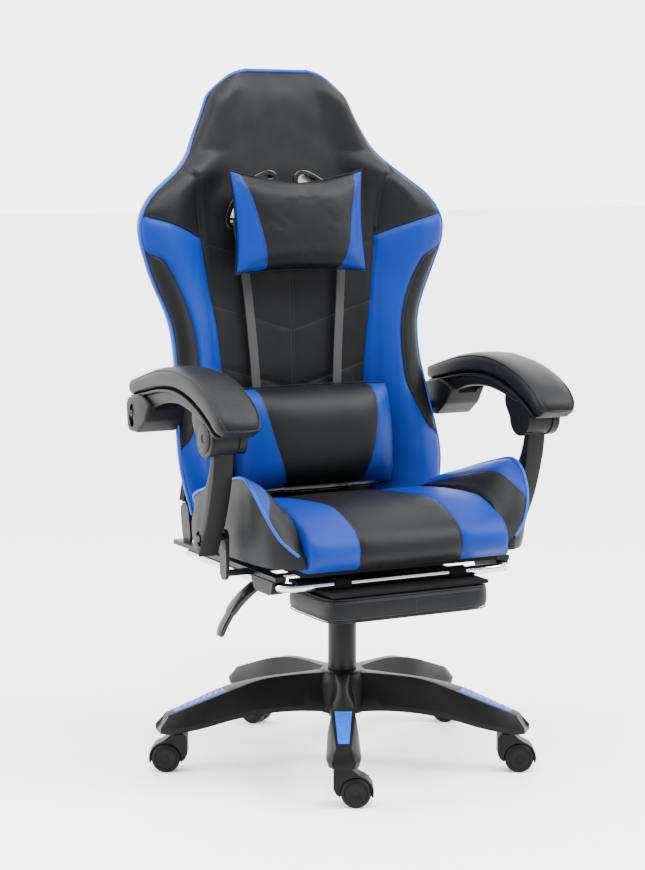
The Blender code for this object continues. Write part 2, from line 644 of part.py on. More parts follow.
def make_back_frame():
    tube, *others = back_frame_meshes()
    frame = add_node("back_frame", tube, BLACK_STEEL)
    for mesh in others:
        join(frame, mesh)
    y, z = RECLINE_PIVOT
    cut(frame, rod_mesh((-0.3, y, z), (0.3, y, z), 0.0060 + GAP, segments=14))


def slot_outline(grow, steps=5):
    """A curved slot in (x, z) with rounded ends, grown outwards."""
    middle = (SLOT_INNER + SLOT_OUTER) / 2
    reach = (SLOT_OUTER - SLOT_INNER) / 2 + grow
    shift = reach / middle
    first, last = SLOT_START + 0.09, SLOT_END - 0.09
    points = []
    for i in range(steps + 1):
        angle = first + (last - first) * i / steps
        points.append(((middle + reach) * sin(angle), (middle + reach) * cos(angle)))
    for i in (1, 2):
        angle = last + shift * sin(pi * i / 3)
        radius = middle + reach * cos(pi * i / 3)
        points.append((radius * sin(angle), radius * cos(angle)))
    for i in range(steps + 1):
        angle = last + (first - last) * i / steps
        points.append(((middle - reach) * sin(angle), (middle - reach) * cos(angle)))
    for i in (1, 2):
        angle = first - shift * sin(pi * i / 3)
        radius = middle - reach * cos(pi * i / 3)
        points.append((radius * sin(angle), radius * cos(angle)))
    return [(x, z + SLOT_CENTRE_Z) for x, z in points]


def slot_mesh(outer_grow, inner_grow, depth_low, depth_high):
    """A slot-shaped ring, or a plug when inner_grow is None, square to the leaning centre panel."""
    lean = atan2(smooth_value(CENTRE_Y, 1.04) - smooth_value(CENTRE_Y, 0.92), 0.12)
    outlines = [slot_outline(outer_grow)]
    if inner_grow is not None:
        outlines.append(slot_outline(inner_grow))
    turned = [[(z - SLOT_CENTRE_Z, x) for x, z in outline] for outline in outlines]
    mesh = plate_mesh(turned, depth_low, depth_high)
    # plate axes (x depth, y up, z across) become (y depth, z up, x across)
    mesh.transform(Matrix(((0, 0, 1), (1, 0, 0), (0, 1, 0))).to_4x4())
    centre_y = smooth_value(CENTRE_Y, SLOT_CENTRE_Z)
    mesh.transform(Matrix.Translation((0, centre_y, SLOT_CENTRE_Z)) @ Matrix.Rotation(-lean, 4, "X"))
    return mesh


def make_back_cushion():
    levels = (0.48, 0.52, 0.57, 0.63, 0.70, 0.76, 0.82, 0.88, 0.93, 0.965, 1.00, 1.035, 1.07, 1.12, 1.165)
    rings = [back_ring(BACK_BOTTOM, 0.03), back_ring(BACK_BOTTOM + 0.010)]
    rings += [back_ring(z) for z in levels]
    rings += [back_ring(1.192, 0.05), back_ring(BACK_TOP, 0.22)]
    cushion = add_node("back_cushion", loft_mesh(rings), BLACK_VINYL)
    for mesh in back_frame_meshes(grow=0.0006):
        cut(cushion, mesh)
    for name, flip in (("left", False), ("right", True)):
        plug = slot_mesh(0.0040 + GAP, None, -0.05, 0.15)
        recess = slot_mesh(0.0105 + GAP, None, -0.05, 0.0010)
        bezel = slot_mesh(0.0040, 0.0, -0.0040, 0.0770)
        flange = slot_mesh(0.0105, 0.0, -0.0040, 0.0006)
        if flip:
            plug, recess, bezel, flange = (mirrored(mesh) for mesh in (plug, recess, bezel, flange))
        cut(cushion, plug)
        cut(cushion, recess)
        join(add_node(f"slot_bezel_{name}", bezel, GLOSS_PLASTIC), flange)


def make_pillows():
    head = pillow_mesh((0, 0.1660, 0.939), (0.133, 0.0380, 0.092), 1.0, 0.55, rings=10, segments=16)
    add_node("head_pillow", head, BLACK_VINYL)
    lumbar = pillow_mesh((0, 0.1120, 0.566), (0.160, 0.0620, 0.0880), 0.80, 0.70, rings=10, segments=16)
    add_node("lumbar_pillow", lumbar, BLUE_VINYL)


def make_straps():
    """Elastic webbing: up the front from the lumbar pillow, through a slot, down the rear and back under."""
    front = ((0.0815, 0.1755, 0.6400), (0.0860, 0.1830, 0.7200), (0.0950, 0.1890, 0.8300), (0.1030, 0.2000, 0.9120),
             (0.1040, 0.2030, 0.9370), (0.1040, 0.2065, 0.9435), (0.1040, 0.2130, 0.9450))
    rear = ((0.1040, 0.2860, 0.9358), (0.1040, 0.2915, 0.9330), (0.1035, 0.2925, 0.9260), (0.0950, 0.2790, 0.8200),
            (0.0870, 0.2695, 0.7000), (0.0840, 0.2590, 0.5900), (0.0830, 0.2370, 0.4900), (0.0830, 0.2230, 0.4480),
            (0.0830, 0.2130, 0.4390))
    under = ((0.0830, 0.1480, 0.4390), (0.0830, 0.1440, 0.4450), (0.0830, 0.1530, 0.4800))
    path = [Vector(point) for point in front + rear + under]
    wide, thick = 0.0085, 0.0009
    rings = []
    for i, point in enumerate(path):
        along = (path[min(i + 1, len(path) - 1)] - path[max(i - 1, 0)]).normalized()
        across = Vector((1, 0, 0)) - along * along.x
        across.normalize()
        normal = along.cross(across)
        rings.append([point + across * (s * wide) + normal * (t * thick)
                      for s, t in ((1, 1), (-1, 1), (-1, -1), (1, -1))])
    left = loft_mesh(rings)
    add_node("strap_right", mirrored(left), WEBBING, smooth=False)
    add_node("strap_left", left, WEBBING, smooth=False)


# ---------------------------------------------------------------- armrests

# y, z of the pad's middle, half width, half thickness, depth of the plastic body under it
PAD_STATIONS = ((0.1820, 0.6520, 0.0190, 0.0070, 0.0), (0.1690, 0.6555, 0.0290, 0.0140, 0.0),
                (0.1100, 0.6690, 0.0320, 0.0175, 0.0300), (0.0400, 0.6830, 0.0350, 0.0190, 0.0250),
                (-0.0300, 0.6880, 0.0375, 0.0195, 0.0230), (-0.0900, 0.6815, 0.0395, 0.0200, 0.0220),
                (-0.1450, 0.6660, 0.0410, 0.0205, 0.0180), (-0.1880, 0.6450, 0.0410, 0.0205, 0.0060),
                (-0.2100, 0.6260, 0.0390, 0.0180, 0.0040), (-0.2190, 0.6160, 0.0300, 0.0110, 0.0))


def pad_lean(i):
    before, after = PAD_STATIONS[max(i - 1, 0)], PAD_STATIONS[min(i + 1, len(PAD_STATIONS) - 1)]
    return atan2(before[1] - after[1], before[0] - after[0])


def pad_mesh(grow=0.0):
    return loft_mesh([ellipse_section((ARM_X, y, z), pad_lean(i), half + grow, thick + grow)
                      for i, (y, z, half, thick, depth) in enumerate(PAD_STATIONS)])


def arm_bow_mesh():
    """The arched plastic body that follows the pad's underside."""
    rings = []
    for i, (y, z, half, thick, depth) in enumerate(PAD_STATIONS):
        if not depth:
            continue
        lean = pad_lean(i)
        drop = thick + depth / 2 - 0.001
        centre = (ARM_X, y + drop * sin(lean), z - drop * cos(lean))
        rings.append(ellipse_section(centre, lean, half - 0.007, depth / 2, power=5.0, count=8))
    return loft_mesh(rings)


def make_arms():
    hub_y, hub_z = HUB_PIVOT
    pivot_y, pivot_z = ARM_PIVOT
    pad = pad_mesh()
    body = arm_bow_mesh()
    block = plate_mesh([[(0.1180, 0.6500), (0.1640, 0.6405), (0.1720, 0.6300), (0.1680, 0.5900), (0.1600, 0.5820),
                         (0.1220, 0.5820), (0.0900, 0.6050), (0.0700, 0.6350), (0.0900, 0.6440)]], 0.2610, 0.3350)
    strut_outline = [(-0.1440, 0.5800), (-0.1340, 0.5450), (-0.1180, 0.5180), (-0.0860, 0.4880), (-0.0680, 0.4650),
                     (-0.0640, 0.4420), (-0.0740, 0.4150), (-0.0930, 0.3980), (-0.1070, 0.4250), (-0.1270, 0.4620),
                     (-0.1420, 0.5020), (-0.1530, 0.5400), (-0.1590, 0.5800)]
    strut_mesh = plate_mesh([strut_outline], ARM_X - STRUT_HALF, ARM_X + STRUT_HALF)
    for side, name in ((1, "left"), (-1, "right")):
        arm = add_node(f"arm_body_{name}", body.copy(), BLACK_PLASTIC)
        join(arm, block.copy())
        join(arm, plate_mesh([capsule((hub_y, hub_z), (hub_y + 0.022, hub_z + 0.030), 0.0255, steps=9)],
                             ARM_X - HUB_HALF, ARM_X + HUB_HALF))
        join(arm, rod_mesh((ARM_X - HUB_HALF, hub_y, hub_z), (ARM_X + HUB_HALF, hub_y, hub_z), 0.031, segments=26))
        cut(arm, pad_mesh(grow=GAP * 2))
        cut(arm, rod_mesh((ARM_X - STRUT_HALF - GAP * 2, hub_y, hub_z), (ARM_X + STRUT_HALF + GAP * 2, hub_y, hub_z),
                          0.0330, segments=26))
        cut(arm, rod_mesh((0.25, hub_y, hub_z), (0.35, hub_y, hub_z), 0.0062, segments=14))
        cut(arm, rod_mesh((0.25, pivot_y, pivot_z), (0.35, pivot_y, pivot_z), 0.0080 + GAP, segments=14))
        strut = add_node(f"arm_strut_{name}", strut_mesh.copy(), BLACK_PLASTIC)
        join(strut, rod_mesh((ARM_X - STRUT_HALF, hub_y, hub_z), (ARM_X + STRUT_HALF, hub_y, hub_z), 0.0290,
                             segments=24))
        cut(strut, rod_mesh((0.25, hub_y, hub_z), (0.35, hub_y, hub_z), 0.0075, segments=14))
        cut(strut, rod_mesh((0.25, *FOOT_PIVOT), (0.35, *FOOT_PIVOT), 0.0060 + GAP, segments=14))
        bolt = add_node(f"hub_bolt_{name}", rod_mesh((ARM_X - HUB_HALF - 0.001, hub_y, hub_z),
                                                     (ARM_X + HUB_HALF + 0.001, hub_y, hub_z), 0.0058, 14),
                        BLACK_STEEL)
        arm_pad = add_node(f"arm_pad_{name}", pad.copy(), BLACK_VINYL)
        if side < 0:
            for piece in (arm, strut, bolt, arm_pad):
                piece.data = mirrored(piece.data)


# ---------------------------------------------------------------- joints and the chair

def add_pivot(name, at, parent, nodes):
    """An empty on a joint's axis that carries the pieces turning or sliding with it."""
    pivot = bpy.data.objects.new(name, None)
    PARTS.objects.link(pivot)
    pivot.empty_display_size = 0.05
    pivot.parent = parent
    start = parent["at"] if parent else (0.0, 0.0, 0.0)
    pivot["at"] = tuple(at)
    pivot.location = Vector(at) - Vector(start)
    for node in nodes:
        piece = PARTS.objects[node]
        piece.parent = pivot
        piece.location = -Vector(at)
    return pivot


def hang_on_pivots():
    """Parent every piece to the pivot of its body, and stand the chair in its own frame."""
    root_nodes = ["star_base", "gas_lift_tube"] + [f"leg_insert_{i + 1}" for i in range(LEGS)]
    base = add_pivot("base_pivot", (0, 0, 0), None, root_nodes)
    base.location = (0, LIFT_AXIS_Y, 0)
    for index in range(LEGS):
        number = index + 1
        foot = leg_direction(index) * CASTER_RADIUS
        swivel = add_pivot(f"caster_{number}_pivot", foot, base, [f"caster_hood_{number}", f"caster_stem_{number}"])
        axle = caster_frame(index) @ Vector((CASTER_TRAIL, 0, WHEEL_RADIUS))
        for name in ("left", "right"):
            add_pivot(f"wheel_{number}_{name}_pivot", axle, swivel, [f"caster_wheel_{number}_{name}"])
    lift = add_pivot("lift_pivot", (0, 0, 0), base, ["gas_lift_piston"])
    seat = add_pivot("seat_pivot", (0, 0, 0), lift, [
        "mechanism_plate", "seat_frame", "seat_pan", "seat_cushion", "seat_wing_left", "seat_wing_right",
        "rail_guide_left", "rail_guide_right", "recliner_left", "recliner_right"])
    add_pivot("height_lever_pivot", (-0.045, 0, 0.335), seat, ["lever_rod", "lever_paddle"])
    add_pivot("recline_lever_pivot", (0, RECLINE_PIVOT[0] - 0.008, RECLINE_PIVOT[1]), seat, ["recline_lever"])
    rail = add_pivot("footrest_slide_pivot", (0, BAR_Y, BAR_Z), seat, ["footrest_rail"])
    add_pivot("footrest_flip_pivot", (0, BAR_Y, BAR_Z), rail, ["footrest_board", "footrest_pad"])
    back = add_pivot("recline_pivot", (0, *RECLINE_PIVOT), seat, [
        "back_frame", "back_cushion", "slot_bezel_left", "slot_bezel_right", "head_pillow", "lumbar_pillow",
        "strap_left", "strap_right"])
    for name in ("left", "right"):
        add_pivot(f"strut_{name}_pivot", (0, *FOOT_PIVOT), seat, [f"arm_strut_{name}"])
        add_pivot(f"arm_{name}_pivot", (0, *ARM_PIVOT), back,
                  [f"arm_body_{name}", f"arm_pad_{name}", f"hub_bolt_{name}"])


PARTS, CUTTERS = start_scene()
make_base()
make_casters()
make_lift()
make_mechanism()
make_height_lever()
make_seat_frame()
make_recliners()
make_recline_lever()
make_seat()
make_wings()
make_footrest()
make_back_frame()
make_back_cushion()
make_pillows()
make_straps()
make_arms()
hang_on_pivots()
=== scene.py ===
import json
from math import atan2, cos, pi, radians, sin

import bmesh
import bpy
import numpy as np
from mathutils import Matrix, Vector


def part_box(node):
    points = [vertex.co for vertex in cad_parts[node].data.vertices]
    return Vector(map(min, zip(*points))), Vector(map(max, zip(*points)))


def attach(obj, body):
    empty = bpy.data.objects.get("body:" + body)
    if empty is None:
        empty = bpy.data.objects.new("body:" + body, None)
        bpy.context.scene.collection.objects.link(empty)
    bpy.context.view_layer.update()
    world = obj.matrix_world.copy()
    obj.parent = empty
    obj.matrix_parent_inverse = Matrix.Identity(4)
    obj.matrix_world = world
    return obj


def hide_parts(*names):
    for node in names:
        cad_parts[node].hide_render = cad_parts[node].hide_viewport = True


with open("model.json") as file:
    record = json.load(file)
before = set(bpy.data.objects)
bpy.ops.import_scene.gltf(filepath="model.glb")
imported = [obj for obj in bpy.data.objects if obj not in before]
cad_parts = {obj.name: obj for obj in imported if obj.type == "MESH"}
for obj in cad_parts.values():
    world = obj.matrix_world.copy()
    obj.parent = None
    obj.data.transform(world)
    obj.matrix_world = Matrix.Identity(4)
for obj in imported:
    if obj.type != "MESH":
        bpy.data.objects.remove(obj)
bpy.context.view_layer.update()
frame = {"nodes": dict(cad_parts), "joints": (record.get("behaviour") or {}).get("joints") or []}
lift_low, lift_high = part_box("gas_lift_tube")
LIFT_Y = (lift_low.y + lift_high.y) / 2
# Sizes below are taken from the gas lift's axis, and add_piece() moves each mesh to it.


# ---------------------------------------------------------------- studio
# A wide soft sky over a pale floor, a soft sun from the chair's left front, and two softboxes.
# The camera stands at the chair's right front quarter, at about the height of its shoulders.

camera = bpy.data.objects.new("camera", bpy.data.cameras.new("camera"))
bpy.context.scene.collection.objects.link(camera)
camera.data.sensor_width = 36.0
camera.data.lens = 88.18
camera.location = (-1.736, -3.246 + LIFT_Y, 1.040)
camera.rotation_euler = (pi / 2 - 0.1263, 0, radians(-28.139) + 0.0094)
bpy.context.scene.camera = camera

sky = bpy.data.worlds.new("studio_sky")
sky.use_nodes = True
sky.node_tree.nodes["Background"].inputs["Color"].default_value = (1.0, 1.0, 1.0, 1.0)
sky.node_tree.nodes["Background"].inputs["Strength"].default_value = 1.0
# The sky is bright on the backdrop's side and dimmer on the room's, as with a lit paper sweep.
ROOM_SKY, BACKDROP_SKY = 1.1, 5.0
heading = sky.node_tree.nodes.new("ShaderNodeTexCoord")
parts = sky.node_tree.nodes.new("ShaderNodeSeparateXYZ")
falloff = sky.node_tree.nodes.new("ShaderNodeMapRange")
for socket, value in (("From Min", -0.7), ("From Max", 0.5), ("To Min", ROOM_SKY),
                      ("To Max", BACKDROP_SKY)):
    falloff.inputs[socket].default_value = value
sky.node_tree.links.new(heading.outputs["Generated"], parts.inputs["Vector"])
sky.node_tree.links.new(parts.outputs["Y"], falloff.inputs["Value"])
sky.node_tree.links.new(falloff.outputs["Result"], sky.node_tree.nodes["Background"].inputs["Strength"])
bpy.context.scene.world = sky


def add_light(name, kind, place, towards, energy, size):
    light = bpy.data.objects.new(name, bpy.data.lights.new(name, kind))
    bpy.context.scene.collection.objects.link(light)
    light.location = place
    light.rotation_euler = (Vector(towards) - Vector(place)).to_track_quat("-Z", "Y").to_euler()
    light.data.energy = energy
    if kind == "SUN":
        light.data.angle = size
    else:
        light.data.shape = "RECTANGLE"
        light.data.size = size[0]
        light.data.size_y = size[1]


add_light("key", "SUN", (2.2, -1.6, 2.6), (0, 0, 0.4), 5.5, radians(24))
add_light("top_softbox", "AREA", (-0.3, -0.9, 2.7), (0, 0.1, 0.7), 120.0, (1.8, 1.0))
add_light("side_softbox", "AREA", (-2.6, 0.6, 1.5), (0, 0, 0.7), 95.0, (0.7, 1.8))

# ---------------------------------------------------------------- star base
# Five legs moulded in one piece of glass-filled nylon round a hub for the gas lift.
# Each is narrow at its waist, flares over its caster, and has a blue plate pressed into its top.


class Wire:
    """One value of a finish. Arithmetic on it adds Math nodes to the same finish."""

    def __init__(self, owner, socket):
        self.owner, self.socket = owner, socket

    def combined(self, operation, *values):
        return self.owner.node("ShaderNodeMath", {"operation": operation}, dict(enumerate(values)))

    def __add__(self, other):
        return self.combined("ADD", self, other)

    def __sub__(self, other):
        return self.combined("SUBTRACT", self, other)

    def __rsub__(self, other):
        return self.combined("SUBTRACT", other, self)

    def __mul__(self, other):
        return self.combined("MULTIPLY", self, other)

    def __pow__(self, other):
        return self.combined("POWER", self, other)

    __radd__ = __add__
    __rmul__ = __mul__


class Finish:
    """A procedural material for one kind of surface, with its record slot."""

    def __init__(self, name, record_slot, **even):
        self.record_slot = record_slot
        self.material = bpy.data.materials.new(name)
        self.material.use_nodes = True
        self.tree = self.material.node_tree
        self.shader = self.tree.nodes["Principled BSDF"]
        self.feed(self.shader, {key.replace("_", " "): value for key, value in even.items()})
        self.place = self.node("ShaderNodeTexCoord", output="Object")

    def feed(self, node, values):
        for key, value in values.items():
            port = node.inputs[key]
            if isinstance(value, Wire):
                self.tree.links.new(value.socket, port)
            elif isinstance(value, tuple) and port.type == "RGBA":
                port.default_value = (*value, 1.0)
            else:
                port.default_value = value

    def node(self, kind, settings=None, values=None, output=0):
        """Any node: its settings first, then its sockets' values or links."""
        made = self.tree.nodes.new(kind)
        for key, value in (settings or {}).items():
            setattr(made, key, value)
        self.feed(made, values or {})
        return Wire(self, made.outputs[output])

    def noise(self, scale, detail=2.0, place=None):
        return self.node("ShaderNodeTexNoise", None,
                         {"Vector": place or self.place, "Scale": scale, "Detail": detail}, "Fac")

    def tinted(self, factor, first, second):
        return self.node("ShaderNodeMix", {"data_type": "RGBA"}, {0: factor, 6: first, 7: second}, 2)

    def stretched(self, x, y, z):
        return self.node("ShaderNodeMapping", None, {"Vector": self.place, "Scale": (x, y, z)})

    def raised(self, height, depth, strength=1.0):
        """Surface relief, depth in metres."""
        bump = self.node("ShaderNodeBump", None, {"Height": height, "Distance": depth, "Strength": strength},
                         "Normal")
        self.feed(self.shader, {"Normal": bump})


def moulded(name, record_slot, dark, light, roughness, grain_depth, **even):
    """Moulded plastic: fine spark texture, faint flow marks, and a few rubbed, shinier patches."""
    finish = Finish(name, record_slot, **even)
    spark = finish.noise(1400.0, 3.0)
    flow = finish.noise(9.0, 4.0)
    rubbed = finish.noise(34.0, 5.0) ** 2.0
    finish.feed(finish.shader, {"Base Color": finish.tinted(flow, dark, light),
                                "Roughness": roughness + 0.10 * flow - 0.16 * rubbed + 0.05 * spark})
    finish.raised(spark + 0.4 * flow, grain_depth)
    return finish


def mesh_of(points, faces, finish_of_face=None):
    mesh = bpy.data.meshes.new("made")
    mesh.from_pydata([tuple(map(float, p)) for p in points], [], faces)
    if finish_of_face is not None:
        mesh.polygons.foreach_set("material_index", finish_of_face)
    fair = bmesh.new()
    fair.from_mesh(mesh)
    bmesh.ops.recalc_face_normals(fair, faces=fair.faces)
    fair.to_mesh(mesh)
    fair.free()
    return mesh


def ring_mesh(rings, look_of_ring=None, look_of_column=None):
    """A closed solid through rings of points, with its two ends filled."""
    rows, columns = len(rings), len(rings[0])
    points = [p for ring in rings for p in ring]
    faces, looks = [], []
    for r in range(rows - 1):
        for c in range(columns):
            d = (c + 1) % columns
            faces.append((r * columns + c, r * columns + d, (r + 1) * columns + d, (r + 1) * columns + c))
            looks.append(look_of_ring[r] if look_of_ring else look_of_column[c] if look_of_column else 0)
    for start, r in ((0, 0), ((rows - 1) * columns, rows - 2)):
        faces.append(tuple(range(start, start + columns)))
        looks.append(look_of_ring[r] if look_of_ring else 0)
    return mesh_of(points, faces, looks)


def smooth_rows(keys, steps):
    """More rows on the smooth curve that runs through the given ones."""
    keys = np.array(keys, float)
    last = len(keys) - 1
    made = []
    for i in range(last):
        before, start, end, after = (keys[min(max(k, 0), last)] for k in (i - 1, i, i + 1, i + 2))
        for t in np.arange(steps) / steps:
            made.append(0.5 * (2 * start + (end - before) * t + (2 * before - 5 * start + 4 * end - after) * t ** 2
                               + (3 * start - before - 3 * end + after) * t ** 3))
    return np.array(made + [keys[-1]])


def turned(profile, steps=64):
    """A solid of revolution about Z from (radius, height) pairs that start and end on the axis."""
    inner = profile[1:-1]
    points = [(0, 0, profile[0][1]), (0, 0, profile[-1][1])]
    for k in range(steps):
        a = 2 * pi * k / steps
        points += [(r * cos(a), r * sin(a), z) for r, z in inner]
    faces, count = [], len(inner)
    for k in range(steps):
        here, there = 2 + k * count, 2 + (k + 1) % steps * count
        faces.append((0, here, there))
        faces.append((1, there + count - 1, here + count - 1))
        faces += [(here + i, here + i + 1, there + i + 1, there + i) for i in range(count - 1)]
    return mesh_of(points, faces)


def tube(path, radius, steps=16):
    """A round bar along a path, with flat ends."""
    path = np.array(path, float)
    rings = []
    across = None
    for i, point in enumerate(path):
        heading = Vector(path[min(i + 1, len(path) - 1)] - path[max(i - 1, 0)]).normalized()
        if across is None:
            across = heading.orthogonal()
        across = (across - heading * across.dot(heading)).normalized()
        other = heading.cross(across)
        rings.append([Vector(point) + radius * (cos(a) * across + sin(a) * other)
                      for a in (2 * pi * k / steps for k in range(steps))])
    return ring_mesh(rings)


def slab(outline, low, high):
    """A plate with a (y, z) outline from x = low to x = high."""
    return ring_mesh([[(x, y, z) for y, z in outline] for x in (low, high)])


def add_piece(name, mesh, finishes, body, replaced=(), crisp=38.0):
    """Give a mesh its finishes, stand it in the chair and let it move with a body."""
    mesh.transform(Matrix.Translation((0, LIFT_Y, 0)))
    piece = bpy.data.objects.new(name, mesh)
    bpy.context.scene.collection.objects.link(piece)
    for finish in finishes:
        mesh.materials.append(finish.material)
    mesh.shade_smooth()
    mesh.set_sharp_from_angle(angle=radians(crisp))
    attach(piece, body)
    if replaced:
        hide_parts(*replaced)
    return piece


def worked(mesh, *steps):
    """Run modifiers on a mesh, each given as (kind, settings), and return the new mesh."""
    blank = bpy.data.objects.new("blank", mesh)
    bpy.context.scene.collection.objects.link(blank)
    tools = []
    for kind, settings in steps:
        modifier = blank.modifiers.new(kind, kind)
        for key, value in settings.items():
            if key == "tool":
                tool = bpy.data.objects.new("tool", value)
                bpy.context.scene.collection.objects.link(tool)
                tools.append(tool)
                modifier.object = tool
                modifier.solver = "EXACT"
            else:
                setattr(modifier, key, value)
    bpy.context.view_layer.update()
    graph = bpy.context.evaluated_depsgraph_get()
    made = bpy.data.meshes.new_from_object(blank.evaluated_get(graph))
    for thing in [blank] + tools:
        bpy.data.objects.remove(thing)
    return made


def less(tool):
    return ("BOOLEAN", {"operation": "DIFFERENCE", "tool": tool})


def plus(tool):
    return ("BOOLEAN", {"operation": "UNION", "tool": tool})


def eased(width, segments=3, angle=30.0):
    """Rounded edges."""
    return ("BEVEL", {"width": width, "segments": segments, "angle_limit": radians(angle),
                      "use_clamp_overlap": True})


nylon = moulded("moulded_nylon", "black_plastic", (0.0022, 0.0023, 0.0026), (0.0048, 0.0050, 0.0054), 0.40, 0.00012,
                Specular_IOR_Level=0.11)
blue_plate = moulded("blue_plate", "blue_plastic", (0.0015, 0.050, 0.33), (0.003, 0.080, 0.48), 0.30, 0.00005,
                     Specular_IOR_Level=0.12)

LEGS = 5
FIRST_LEG = radians(-90 - 27.6)
# r of the top edge, r of the bottom edge, half width top, half width bottom, z top, z bottom
LEG_STATIONS = ((0.026, 0.026, 0.014, 0.024, 0.1560, 0.0860), (0.090, 0.090, 0.0075, 0.020, 0.1545, 0.0915),
                (0.150, 0.150, 0.0085, 0.022, 0.1505, 0.0915), (0.208, 0.208, 0.0190, 0.026, 0.1380, 0.0860),
                (0.264, 0.264, 0.0170, 0.028, 0.1190, 0.0755), (0.314, 0.314, 0.0130, 0.0285, 0.1020, 0.0705),
                (0.318, 0.334, 0.0120, 0.0195, 0.0990, 0.0705))


def leg_mesh():
    rings = []
    for r_top, r_low, top, low, z_top, z_low in smooth_rows(LEG_STATIONS, 5):
        knee = z_low + 0.010
        rings.append([(r_top, top, z_top), (r_low, low, knee), (r_low, low * 0.9, z_low),
                      (r_low, -low * 0.9, z_low), (r_low, -low, knee), (r_top, -top, z_top)])
    return worked(ring_mesh(rings), eased(0.0022, 2, 24.0))


PLATE_START, PLATE_END = Vector((0.216, 0, 0.1354)), Vector((0.306, 0, 0.1048))


def plate_mesh(grow=0.0):
    """The tapered plate on a leg's slope; grow makes the pocket that it sits in."""
    start, end = PLATE_START, PLATE_END
    slope = (end - start).normalized()
    up = Vector((-slope.z, 0, slope.x))
    rings = []
    for lift in (-0.0025 - grow, 0.0006 + grow):
        rings.append([place + slope * (-grow if place is start else grow) + up * lift
                      + Vector((0, side * ((0.0145 if place is start else 0.0092) + grow), 0))
                      for place, side in ((start, 1), (end, 1), (end, -1), (start, -1))])
    return ring_mesh(rings)


def chevron_mesh(share):
    """One raised V on the plate, share of the way down it."""
    start, end = PLATE_START, PLATE_END
    slope = (end - start).normalized()
    up = Vector((-slope.z, 0, slope.x))
    half = 0.0122 + (0.0072 - 0.0122) * share
    tip = start.lerp(end, share) + slope * 0.006
    rings = []
    for side, back in ((1, 0.0075), (0, 0.0), (-1, 0.0075)):
        place = tip + Vector((0, side * half, 0)) - slope * back
        rings.append([place + slope * s + up * u for s, u in ((-0.0011, 0), (-0.0006, 0.0012), (0.0006, 0.0012),
                                                             (0.0011, 0))])
    return ring_mesh(rings)


def joined(meshes):
    """Several separate closed meshes as one."""
    both = bmesh.new()
    for mesh in meshes:
        both.from_mesh(mesh)
    made = bpy.data.meshes.new("made")
    both.to_mesh(made)
    both.free()
    return made


def turned_about_z(mesh, angle):
    copy = mesh.copy()
    copy.transform(Matrix.Rotation(angle, 4, "Z"))
    return copy


hub = turned(((0.0, 0.158), (0.0345, 0.158), (0.0375, 0.1570), (0.0405, 0.1535), (0.0445, 0.142), (0.046, 0.135),
              (0.046, 0.090), (0.044, 0.0855), (0.040, 0.0835), (0.0, 0.0835)))
leg = leg_mesh()
leg_angles = [FIRST_LEG - 2 * pi * i / LEGS for i in range(LEGS)]
base_steps = []
for angle in leg_angles:
    base_steps.append(plus(turned_about_z(leg, angle)))
for angle in leg_angles:
    base_steps.append(less(turned_about_z(plate_mesh(0.0004), angle)))
bore = turned(((0.0, 0.18), (0.0254, 0.18), (0.0254, 0.06), (0.0, 0.06)))
base_mesh = worked(hub, *base_steps, less(bore))
add_piece("star_base_moulding", base_mesh, [nylon], "base", ["star_base"], crisp=32.0)
insert = joined([worked(plate_mesh(), eased(0.0005, 2))] + [chevron_mesh(0.06 + 0.125 * k) for k in range(7)])
for number, angle in enumerate(leg_angles, 1):
    add_piece(f"leg_plate_{number}", turned_about_z(insert, angle), [blue_plate], "base", [f"leg_insert_{number}"])

# ---------------------------------------------------------------- casters
# Twin-wheel casters: a nylon hood over two hollow wheels on one axle, on an 11 mm plated stem.

wheel_nylon = moulded("wheel_nylon", "caster_nylon", (0.0022, 0.0023, 0.0026), (0.0050, 0.0052, 0.0056), 0.44, 0.0001,
                      Specular_IOR_Level=0.11)
plated = Finish("plated_steel", "plated_steel", Metallic=1.0)
drawn = plated.noise(60.0, 3.0, plated.stretched(1.0, 1.0, 14.0))
plated.feed(plated.shader, {"Base Color": plated.tinted(drawn, (0.20, 0.205, 0.215), (0.36, 0.365, 0.38)),
                            "Roughness": 0.24 + 0.16 * drawn})
plated.raised(drawn, 0.00003)

# the wheel's section: radius and distance from the hood's wall
WHEEL_SECTION = ((0.0, 0.0206), (0.0050, 0.0206), (0.0056, 0.0200), (0.0062, 0.0204), (0.0165, 0.0206),
                 (0.0180, 0.0203), (0.0186, 0.0196), (0.0192, 0.0202), (0.0222, 0.0198), (0.0240, 0.0186),
                 (0.0249, 0.0166), (0.0250, 0.0150), (0.0250, 0.0060), (0.0246, 0.0038), (0.0235, 0.0020),
                 (0.0043, 0.0020), (0.0043, 0.0180), (0.0, 0.0180))
wheel_mesh = turned(WHEEL_SECTION, 72)
roll_joints = {joint["child"]: joint for joint in frame["joints"] if joint["child"].startswith("wheel_")}
for number in range(1, LEGS + 1):
    for side, sign in (("left", 1), ("right", -1)):
        joint = roll_joints[f"wheel_{number}_{side}"]
        low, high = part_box(f"caster_wheel_{number}_{side}")
        axle = Vector(joint["axis"]).normalized()
        centre = Vector(joint["pos_m"])
        outward = axle if axle.dot((low + high) / 2 - centre) > 0 else -axle
        mesh = wheel_mesh.copy()
        mesh.transform(Matrix.Translation(centre - Vector((0, LIFT_Y, 0)))
                       @ Vector((0, 0, 1)).rotation_difference(outward).to_matrix().to_4x4())
        add_piece(f"wheel_{number}_{side}", mesh, [wheel_nylon], f"wheel_{number}_{side}",
                  [f"caster_wheel_{number}_{side}"])


def finish_cad(node, finish):
    """Put a finish on a piece of the frame that is shown as it is."""
    shape = frame["nodes"][node].data
    shape.materials.clear()
    shape.materials.append(finish.material)


